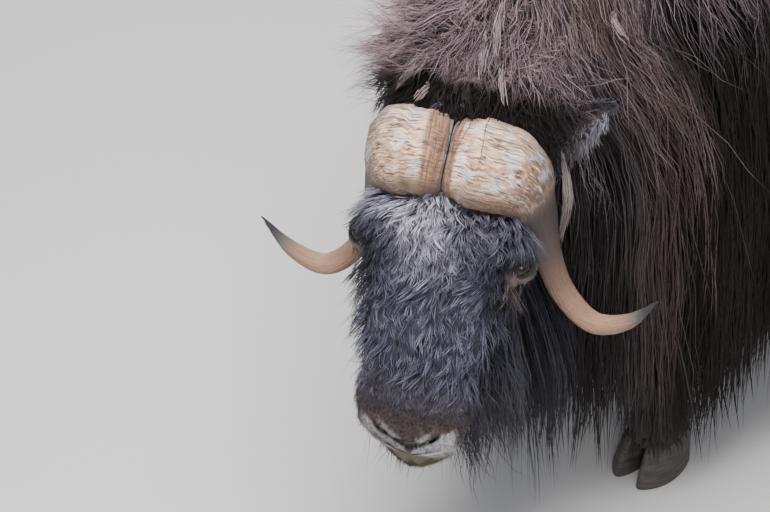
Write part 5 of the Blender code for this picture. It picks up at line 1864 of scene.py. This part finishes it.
for side, name in SIDES:
    paths, outward, turn, share = lid_hair(side, LID_HAIRS)
    below = ramp(0.1, -0.5, np.sin(turn[:, 0])) * ramp(0.85, 0.4, share[:, 0])
    base = blended(np.broadcast_to(CHEEK * 1.2, (len(turn), 3)), EYE_SKIN * 0.75, below)
    unwrap = np.concatenate([turn / 6.4, 0.05 + 0.9 * share], axis=-1)
    fur(f"lid_hair_{name}", paths, outward, base, LID_LOOKS, unwrap, 0, FACE_PAINT, "face")
    paths, outward, turn = lashes(side, LASHES)
    pale = ramp(0.7, 0.2, turn) if side > 0 else ramp(2.4, 2.9, turn)
    base = blended(np.broadcast_to(NEAR_BLACK_AND_SHADE, (len(turn), 3)), MUZZLE_PALE, 0.8 * pale)
    tones = strand_tones(base, 4, 0.9, 1.1, 0.2)
    unwrap = jittered(np.stack([turn / math.pi, 0.5 + 0 * turn], axis=-1), 0.01)
    widths = np.full(len(turn), LASH_HALF_WIDTH)
    coat_piece(f"lashes_{name}", paths, outward, widths, tones, unwrap, FACE_PAINT, "face")

# %% [markdown]
# ## The tail's hair
#
# The short tail is hidden in the coat of the haunches: a small core, which is part of the skin,
# with hair that hangs from it all round.

# %% The tail's hair
TAIL_GUIDES = int(70 * SHARE_OF_COAT)
TAIL_LOOKS = (0.6, 1.3, 0.2, 0.0013, 0.0022)

turn = RANDOM.uniform(0, TURN, TAIL_GUIDES)
rise = RANDOM.uniform(-0.9, 0.9, TAIL_GUIDES)
out = np.stack([np.cos(turn), 0.55 * np.sin(turn) + 0.35, 0.25 * rise], axis=-1)
roots = TAIL_MIDDLE + TAIL_RADII * np.stack([np.cos(turn) * 0.8, np.sin(turn) * 0.8, rise * 0.6], -1)
lengths = RANDOM.uniform(0.06, 0.11, TAIL_GUIDES)
guides = falling(roots, unit(out), lengths, 5, turn=0.45, wobble=0.12)
paths, outward, guide = clumped(
    guides, out, 5, spread=0.008, gather=0.6, wave=0.002, wavelength=0.06, loose=0.004
)
unwrap = np.stack([turn / 6.4, 0.5 + 0.45 * rise], axis=-1)[guide]
fur("tail_hair", paths, outward, RUMP, TAIL_LOOKS, unwrap, 0.005, COAT_PAINT, "coat")

# %% [markdown]
# ## The legs' hair
#
# The lower legs carry short pale hair that lies close and runs down to the hoof, dark with mud
# on the foot that shows. It is short enough to be laid out straight: a root on the leg's skin,
# a lift, and a tip further down.

# %% The legs' hair
LEG_GUIDES = int(380 * SHARE_OF_COAT)
LEG_SPAN = (0.3, 0.985)  # shares down the leg between which hair grows
LEG_LOOKS = (0.6, 1.15, 0.2, 0.0012, 0.0022)
LEG_HEM = 0.055


def leg_hair(place):
    """Guides down one leg from under the coat to the hoof's rim."""
    outline = leg_outline(place)
    share, angle = scattered(outline, LEG_SPAN, (0, TURN), LEG_GUIDES)
    roots, normal = with_normals(outline, share, angle)
    middle = along(leg_line(place)[:, :3], share)
    normal = unit(normal * [1, 1, 0.2])
    normal = normal * np.sign(dot(normal, (roots - middle) * [1, 1, 0]))
    down = unit(np.array([0, 0, -1.0]) + 0.12 * RANDOM.normal(0, 1, (LEG_GUIDES, 3)))
    down = unit(down - dot(down, normal) * normal)
    lengths = RANDOM.uniform(0.022, 0.04, LEG_GUIDES)
    lengths = np.minimum(lengths, np.maximum(roots[:, 2] - LEG_HEM, 0.008))
    at = shares(4)
    reach = lengths[:, None, None] * (down[:, None] * at + normal[:, None] * at * (1 - 0.7 * at) * 0.35)
    guides = roots[:, None] - normal[:, None] * (LEG_FUR + 0.002) * (1 - at) ** 2 + reach
    return guides, normal, np.stack([share, angle / 6.3], -1)


for place in FEET:
    guides, outward, where = leg_hair(place)
    paths, outward, guide = clumped(guides, outward, 3, spread=0.007, gather=0.5, loose=0.002)
    base = leg_marking(guides[:, 1])[guide]
    fur(f"leg_hair_{place}", paths, outward, base, LEG_LOOKS, where[guide], 0, COAT_PAINT, "leg")

# %% [markdown]
# ## Horns
#
# A bull's horns spread over the crown as two domed pads, the boss, with a groove between them,
# then run down beside the eyes and hook outwards to sharp tips. Each horn is one profile
# carried along a curve. Its frame is passed from ring to ring without twist, as a twisting
# frame would pinch it at the bend. Relief is added on the grid itself: ridges beside the
# groove, and fibres along the horn.

# %% Horns
GROOVE = 0.002
HORN_RINGS, HORN_SIDES = 190, 88


def horn_rings():
    """The left horn's rings in the head's frame, with the length and way round at each point."""
    at = np.linspace(0, 1, HORN_RINGS)
    knots = np.linspace(0, 1, len(HORN_LINE))
    middle = along(HORN_LINE, at)
    breadth = np.maximum(smooth(knots, HORN_BREADTH, at), 0.001)
    thick = np.maximum(smooth(knots, HORN_THICKNESS, at), 0.001)
    ahead = unit(np.gradient(middle, axis=0))
    broad = [np.array([0.0, 1.0, 0.0])]
    for direction in ahead:
        broad.append(unit(broad[-1] - direction * np.dot(broad[-1], direction)))
    broad = np.array(broad[1:])
    over = np.cross(broad, ahead)
    angle = circle(HORN_SIDES)
    squareness = 2 / np.interp(at, [0, 0.35, 0.6, 1], [2.6, 2.5, 2.0, 2.0])[:, None]
    outline = (
        broad[:, None] * (breadth[:, None] * power(np.cos(angle), squareness))[..., None]
        + over[:, None] * (thick[:, None] * power(np.sin(angle), squareness))[..., None]
    )
    length = np.concatenate([[0], np.cumsum(np.linalg.norm(np.diff(middle, axis=0), axis=1))])
    return middle[:, None] + outline, unit(outline), length, angle, breadth


BAND = {1: 0.034, -1: 0.056}  # width of the ridged band beside the groove on each side
BAND_DEPTH = 0.005  # how deep that band lies under the pads


def horn_relief(rings, length, angle, breadth, band):
    """Height of the horn's relief: a sunk band of ridges along the groove, fibres along the
    horn, broken lumps, and a broad unevenness over the boss."""
    s = np.broadcast_to(length[:, None], rings.shape[:2])
    girth = breadth[:, None] * (math.pi - np.abs(angle - math.pi))[None, :]
    lengthways = np.stack([s * 0.12, girth, 0 * s], axis=-1)
    broken = np.stack([s * 0.5, girth * 0.5, 0 * s], axis=-1)
    crosswise = np.stack([s, girth * 0.14, 0 * s], axis=-1)
    boss = ramp(0.26, 0.17, s)
    edge = band + 0.004 * ripples(crosswise * [0, 1, 0], 0.02, 67)
    beside = ramp(edge + 0.006, edge, s)
    relief = 0.0018 * beside * ripples(crosswise, 0.011, 61) - BAND_DEPTH * beside
    relief = relief - 0.003 * bell(s, 0, 0.006)
    relief = relief + 0.0012 * boss * (1 - beside) * ripples(lengthways, 0.007, 62)
    relief = relief + 0.0018 * boss * ripples(broken, 0.016, 63) * ripples(broken, 0.05, 64)
    relief = relief + 0.0024 * boss * ripples(rings, 0.07, 65)
    return relief + 0.0005 * ramp(0.24, 0.35, s) * ripples(lengthways, 0.006, 66)

# %% [markdown]
# ## The horns' paint
#
# Colours run along the horn from the groove to the tip: a band of ridges, a pale boss, a dark
# stem, a tan hook and a black tip, with a blue-grey line in the groove that is a painted sky
# reflection. Noise bends their edges. Over them lie fibres, whose pale streaks are partly a
# painted highlight, cracks, golden patches and blue-grey spots of painted sky reflection, and
# the boss darkens towards its front and rear edges, partly brown horn and partly painted shade.

# %% The horns' paint
def horn_paint(name, band):
    """Horn: bands of colour along it, bent by noise, under fibrous streaks and dark cracks.
    The band is the share of the horn's length that the ridges beside the groove take."""
    paint = Paint(name, {"Roughness": 0.5, "Specular IOR Level": 0.35})
    uv = paint.node("ShaderNodeUVMap", {"uv_map": "along_horn"})
    share = paint.node("ShaderNodeSeparateXYZ", None, {0: uv})
    place = paint.place()
    bend = paint.noise(place, 24.0, detail=4.0) - 0.5
    wavy = paint.node("ShaderNodeVectorMath", {"operation": "ADD"}, {0: uv, 1: bend * 0.038})
    fine = paint.noise(wavy, 1.0, detail=4.0, roughness=0.7, stretch=(20, 160, 1))
    broad = paint.noise(wavy, 1.0, detail=5.0, roughness=0.65, stretch=(10, 52, 1))
    ridges = paint.noise(uv, 1.0, detail=5.0, roughness=0.6, stretch=(150, 6, 1))
    blotches = paint.noise(place, 55.0, detail=5.0, roughness=0.6)
    patches = paint.noise(place, 17.0, detail=3.0)
    sky_reflection_spots = paint.noise(place, 29.0, detail=4.0)
    stops = [
        # the groove's blue-grey line: a painted sky reflection
        (0.0, (0.24, 0.26, 0.33)),
        (0.009, (0.33, 0.34, 0.4)),
        (0.013, (0.12, 0.075, 0.062)),
        (0.024, (0.23, 0.13, 0.088)),
        (band - 0.01, (0.4, 0.215, 0.13)),
        (band, (0.29, 0.165, 0.105)),
        (band + 0.008, (0.86, 0.62, 0.44)),
        (band + 0.05, (0.82, 0.575, 0.4)),
        (0.225, (0.56, 0.38, 0.26)),
        (0.3, (0.18, 0.122, 0.096)),
        (0.42, (0.08, 0.062, 0.056)),
        (0.54, (0.115, 0.085, 0.074)),
        (0.64, (0.29, 0.18, 0.128)),
        (0.78, (0.52, 0.3, 0.2)),
        (0.88, (0.43, 0.265, 0.185)),
        (0.925, (0.2, 0.17, 0.16)),
        (0.96, (0.06, 0.062, 0.08)),
    ]
    colour = paint.node("ShaderNodeValToRGB", {"stops": stops}, {0: share + bend * 0.02})
    near_groove = 1.0 - share.between(band - 0.006, band + 0.006)
    on_boss = 1.0 - share.between(0.28, 0.4)
    on_pad = on_boss * (1.0 - near_groove)
    around = paint.node("ShaderNodeSeparateXYZ", None, {0: uv}, output=1)
    layers = [
        # share and colour of each: ridges, golden patches, grey spots of painted sky reflection, pale
        # fibres that are partly a painted highlight, cracks, worn places
        ((1.0 - ridges.between(0.38, 0.5)) * near_groove * 0.75, (0.095, 0.045, 0.035)),
        (ridges.between(0.57, 0.7) * near_groove * 0.55, (0.7, 0.46, 0.34)),
        (patches.between(0.45, 0.58) * on_pad * 0.75, (0.54, 0.29, 0.15)),
        # blue-grey spots: a painted sky reflection
        (sky_reflection_spots.between(0.53, 0.63) * on_pad * 0.75, (0.66, 0.66, 0.76)),
        # pale fibre streaks, partly a painted highlight
        (fine.between(0.53, 0.63) * on_pad * 0.85, (1.0, 0.94, 0.9)),
        ((1.0 - fine.between(0.4, 0.48)) * (on_boss * 0.65 + 0.3), (0.13, 0.074, 0.046)),
        ((1.0 - broad.between(0.36, 0.46)) * (on_boss * 0.4 + 0.48), (0.105, 0.066, 0.05)),
        (blotches.between(0.54, 0.66) * on_pad * 0.5, (0.42, 0.245, 0.15)),
    ]
    to_front = (around - 0.5).maths("ABSOLUTE", around - 0.5) + bend * 0.1
    layers += [
        # darker front and rear edges of the boss: brown horn and painted shade
        ((1.0 - to_front.between(0.08, 0.2)) * on_boss * (0.45 + broad * 0.7), (0.145, 0.096, 0.07)),
        (to_front.between(0.36, 0.47) * on_boss * 0.6, (0.3, 0.215, 0.16)),
    ]
    for part, tint in layers:
        colour = paint.mix(part, colour, tint)
    paint.to("Base Color", colour)
    paint.to("Roughness", 0.42 + broad * 0.3)
    paint.raised(fine * 0.7 + broad * 0.8 + ridges * near_groove + blotches * 0.4, 0.0034, 1.0)
    return paint.material

# %% [markdown]
# ## Both horns
#
# The right horn is the left one mirrored, with a wider band of ridges, as in the photograph.

# %% Both horns
for side, name in SIDES:
    rings, outline, length, angle, breadth = horn_rings()
    rings = rings + outline * horn_relief(rings, length, angle, breadth, BAND[side])[..., None]
    rings[..., 0] = np.maximum(rings[..., 0], GROOVE / 2)
    points, faces = closed_tube(posed(rings if side > 0 else mirrored(rings)))
    places = tube_places(*rings.shape[:2])
    flipped = not np.array_equal(faces, tube_faces(*rings.shape[:2]))
    places = places.reshape(-1, 3, 2)[:, ::-1].reshape(-1, 2) if flipped else places
    band_share = BAND[side] / float(length[-1])
    paint = horn_paint(f"horn_{name}", band_share)
    made = piece(f"horn_form_{name}", points, faces, paint, places=places, map_name="along_horn")
    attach(made, "root")
    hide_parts(f"horn_{name}")
    print("horn", name, "is", round(float(length[-1]), 2), "m along its middle")

# %% [markdown]
# ## Eyes
#
# The eye is a dark brown ball with a wide pupil, wet under the lids. The ball's rings run from
# the middle of the gaze to its back, so pupil, iris and white are circles and ellipses about
# that point, and the front swells a little as the cornea does.

# %% Eyes
IRIS = np.array([0.045, 0.022, 0.014])
EYE_WHITE = np.array([0.07, 0.048, 0.042])
PUPIL = np.array([0.002, 0.002, 0.003])


def eyeball(side):
    """A sphere from the gaze's pole, its radius swollen by a bell at the cornea."""
    centre, face, ahead, upward = eye_frame(side)
    polar = np.linspace(0.02, math.pi - 0.02, 44)[:, None]
    turn = circle(64)[None, :]
    radius = EYE_RADIUS + 0.0011 * bell(polar, 0, 0.42)
    ring = np.cos(turn)[..., None] * ahead + np.sin(turn)[..., None] * upward
    place = centre + radius[..., None] * (face * np.cos(polar)[..., None] + ring * np.sin(polar)[..., None])
    wide, tall = polar * np.cos(turn), polar * np.sin(turn)
    rays = 1 + 0.35 * np.sin(turn * 23 + 3 * np.sin(turn * 7))
    colour = IRIS * rays[..., None] * np.ones(place.shape)
    edge = ramp(0.74, 0.84, polar) + 0 * turn
    colour = blended(colour, EYE_WHITE, edge)
    pupil = ramp(1.15, 0.9, np.hypot(wide / 0.38, tall / 0.2))
    colour = blended(colour, PUPIL, pupil)
    points, faces = closed_tube(posed(place))
    return points, faces, np.concatenate([colour.reshape(-1, 3), [PUPIL, EYE_WHITE]])


TEARS = {"Coat Weight": 0.5, "Coat Roughness": 0.04, "Coat IOR": 1.33}
eye_paint = Paint("eye", {"Roughness": 0.25, "Specular IOR Level": 0.3, **TEARS})
cloud = eye_paint.noise(eye_paint.place(), 900.0, detail=3.0)
eye_paint.to("Base Color", eye_paint.shaded_tone(cloud * 0.5 + 0.75))
for side, name in SIDES:
    points, faces, colours = eyeball(side)
    made = piece(f"eye_ball_{name}", points, faces, eye_paint.material, colours)
    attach(made, "root")
    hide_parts(f"eye_{name}")

# %% [markdown]
# ## Hooves
#
# A muskox has broad, round hooves of two claws each, with two small dew claws behind. A claw is
# an egg outline, flatter on the inner side, carried up from the sole and drawn in towards the
# hair. Fine growth rings run round it.

# %% Hooves
CLEFT = 0.005
DEW_CLAW_FROM_HEEL = np.array([0.026, 0.006, 0.02])
DEW_CLAW_RADII = (0.013, 0.019, 0.017)


def claw_rings(place, inner):
    """One claw: an egg outline at each level, shifted forwards at the ground."""
    x, y, half_width, half_length = FEET[place]
    z = np.concatenate([[0.0, 0.002], np.linspace(0.004, HOOF_HEIGHT + 0.004, 34)])[:, None]
    angle = circle(52)[None, :]
    scale = np.interp(z, [0, 0.003, 0.012, 0.045, HOOF_HEIGHT], [0.94, 0.98, 1.0, 0.92, 0.8])
    scale = scale * (1 + 0.006 * np.sin(z * TURN / 0.0075))
    forward = np.interp(z, [0, 0.045, HOOF_HEIGHT], [0.004, -0.004, -0.012])
    toe = np.clip(-np.sin(angle), 0, 1)
    outer = 0.5 * half_width * (1 + np.cos(angle)) * (1 - 0.22 * toe**2)
    ring_x = x + inner * (CLEFT / 2 + (outer - 0.5 * CLEFT * np.cos(angle)) * scale)
    ring_y = y - forward + half_length * scale * (1 + 0.1 * toe) * power(np.sin(angle), 0.85)
    return np.stack(np.broadcast_arrays(ring_x, ring_y, z + 0 * angle), axis=-1)


def hoof_paint():
    """Dark worn horn: rings of growth, fine cracks down it, and mud in the hollows."""
    paint = Paint("hoof", {"Roughness": 0.6, "Specular IOR Level": 0.4})
    place = paint.place()
    rings = paint.noise(place, 60.0, detail=4.0, stretch=(0.25, 0.25, 5.0))
    cracks = paint.noise(place, 160.0, detail=4.0, stretch=(1, 1, 0.12))
    mud = paint.noise(place, 45.0, detail=5.0).between(0.45, 0.62)
    colour = paint.mix(rings.between(0.35, 0.65), (0.03, 0.026, 0.026), (0.085, 0.07, 0.062))
    colour = paint.mix(mud * 0.7, colour, (0.095, 0.078, 0.066))
    paint.to("Base Color", colour)
    paint.to("Roughness", 0.45 + mud * 0.35)
    paint.raised(rings + cracks * 0.6 + mud * 0.5, 0.0018, 0.7)
    return paint.material


HOOF_PAINT = hoof_paint()
for place, (x, y, _, half_length) in FEET.items():
    shells = [closed_tube(claw_rings(place, inner)) for inner in (-1, 1)]
    for inner in (-1, 1):
        middle = np.array([x, y + half_length, HOOF_HEIGHT]) + DEW_CLAW_FROM_HEEL * [inner, 1, 1]
        shells.append(egg(middle, DEW_CLAW_RADII, np.eye(3), 10, 16))
    offsets = np.cumsum([0] + [len(points) for points, _ in shells[:-1]])
    points = np.concatenate([points for points, _ in shells])
    faces = np.concatenate([faces + offset for (_, faces), offset in zip(shells, offsets)])
    made = piece(f"claws_{place}", points, faces, HOOF_PAINT)
    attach(made, "root")
    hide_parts(f"hoof_{place}")
print("four hooves of two claws each")

# %% [markdown]
# ## Floor and light
#
# A plain pale floor under large soft lamps shows the coat's forms as an overcast day does.

# %% Floor and light
floor_paint = Paint("floor", {"Roughness": 0.9})
floor_paint.to("Base Color", (0.62, 0.61, 0.6, 1.0))
mesh = bpy.data.meshes.new("floor")
mesh.from_pydata([(-9, -9, 0), (9, -9, 0), (9, 9, 0), (-9, 9, 0)], [], [(0, 1, 2, 3)])
mesh.materials.append(floor_paint.material)
floor = bpy.data.objects.new("floor", mesh)
bpy.context.scene.collection.objects.link(floor)

world = bpy.data.worlds.new("sky")
world.use_nodes = True
world.node_tree.nodes["Background"].inputs["Color"].default_value = (0.8, 0.86, 1.0, 1.0)
world.node_tree.nodes["Background"].inputs["Strength"].default_value = 0.42
bpy.context.scene.world = world


def matrix_towards(place, target):
    """A matrix at a place whose -z axis looks at a target, with its x axis level."""
    back = unit(place - target)
    right = unit(np.cross([0, 0, 1.0], back))
    matrix = np.eye(4)
    matrix[:3, :3] = np.stack([right, np.cross(back, right), back], axis=1)
    matrix[:3, 3] = place
    return matrix.T.tolist()


def lamp(name, place, target, size, watts, colour):
    """A square soft lamp that looks at a target."""
    light = bpy.data.lights.new(name, "AREA")
    light.size = size
    light.energy = watts
    light.color = colour
    made = bpy.data.objects.new(name, light)
    bpy.context.scene.collection.objects.link(made)
    made.matrix_world = matrix_towards(np.array(place, float), np.array(target, float))


lamp("overhead", (0.2, -1.4, 4.2), (0.0, -0.5, 0.8), 2.6, 330, (1.0, 0.98, 0.96))
lamp("left_front", (2.8, -3.6, 2.6), (0.1, -0.8, 0.8), 2.0, 70, (1.0, 0.97, 0.94))
lamp("rear", (-2.5, 3.5, 3.0), (0.0, 0.5, 0.8), 2.5, 120, (0.92, 0.95, 1.0))

# %% [markdown]
# ## Camera
#
# The camera looks from above and from the animal's left front, along the photograph's view. Its
# target is set so that the poll appears where it does in the photograph.

# %% Camera
VIEW_AZIMUTH = math.radians(42.0)
VIEW_ELEVATION = math.radians(39.0)
VIEW_DISTANCE = 4.6
FOCAL_PIXELS = 2867.0
IMAGE_WIDTH, IMAGE_HEIGHT = 770, 512
POLL_IN_IMAGE = (479.8, 104.0)
heading = np.array([math.sin(VIEW_AZIMUTH), -math.cos(VIEW_AZIMUTH), 0.0])
back = math.cos(VIEW_ELEVATION) * heading + np.array([0, 0, math.sin(VIEW_ELEVATION)])
upward = -math.sin(VIEW_ELEVATION) * heading + np.array([0, 0, math.cos(VIEW_ELEVATION)])
right = np.cross(upward, back)
metres_per_pixel = VIEW_DISTANCE / FOCAL_PIXELS
target = POLL + SHIFT
target = target - right * (POLL_IN_IMAGE[0] - IMAGE_WIDTH / 2) * metres_per_pixel
target = target - upward * (IMAGE_HEIGHT / 2 - POLL_IN_IMAGE[1]) * metres_per_pixel
camera_data = bpy.data.cameras.new("camera")
camera_data.sensor_width = 36.0
camera_data.lens = FOCAL_PIXELS / IMAGE_WIDTH * camera_data.sensor_width
camera_data.clip_end = 40.0
camera = bpy.data.objects.new("camera", camera_data)
bpy.context.scene.collection.objects.link(camera)
eye = target + back * VIEW_DISTANCE
camera.matrix_world = matrix_towards(eye, target)
bpy.context.scene.camera = camera
print("camera at", eye.round(3))

# %% [markdown]
# ## Last update
#
# The view layer is brought up to date, so every piece stands where it was placed.

# %% Last update
bpy.context.view_layer.update()
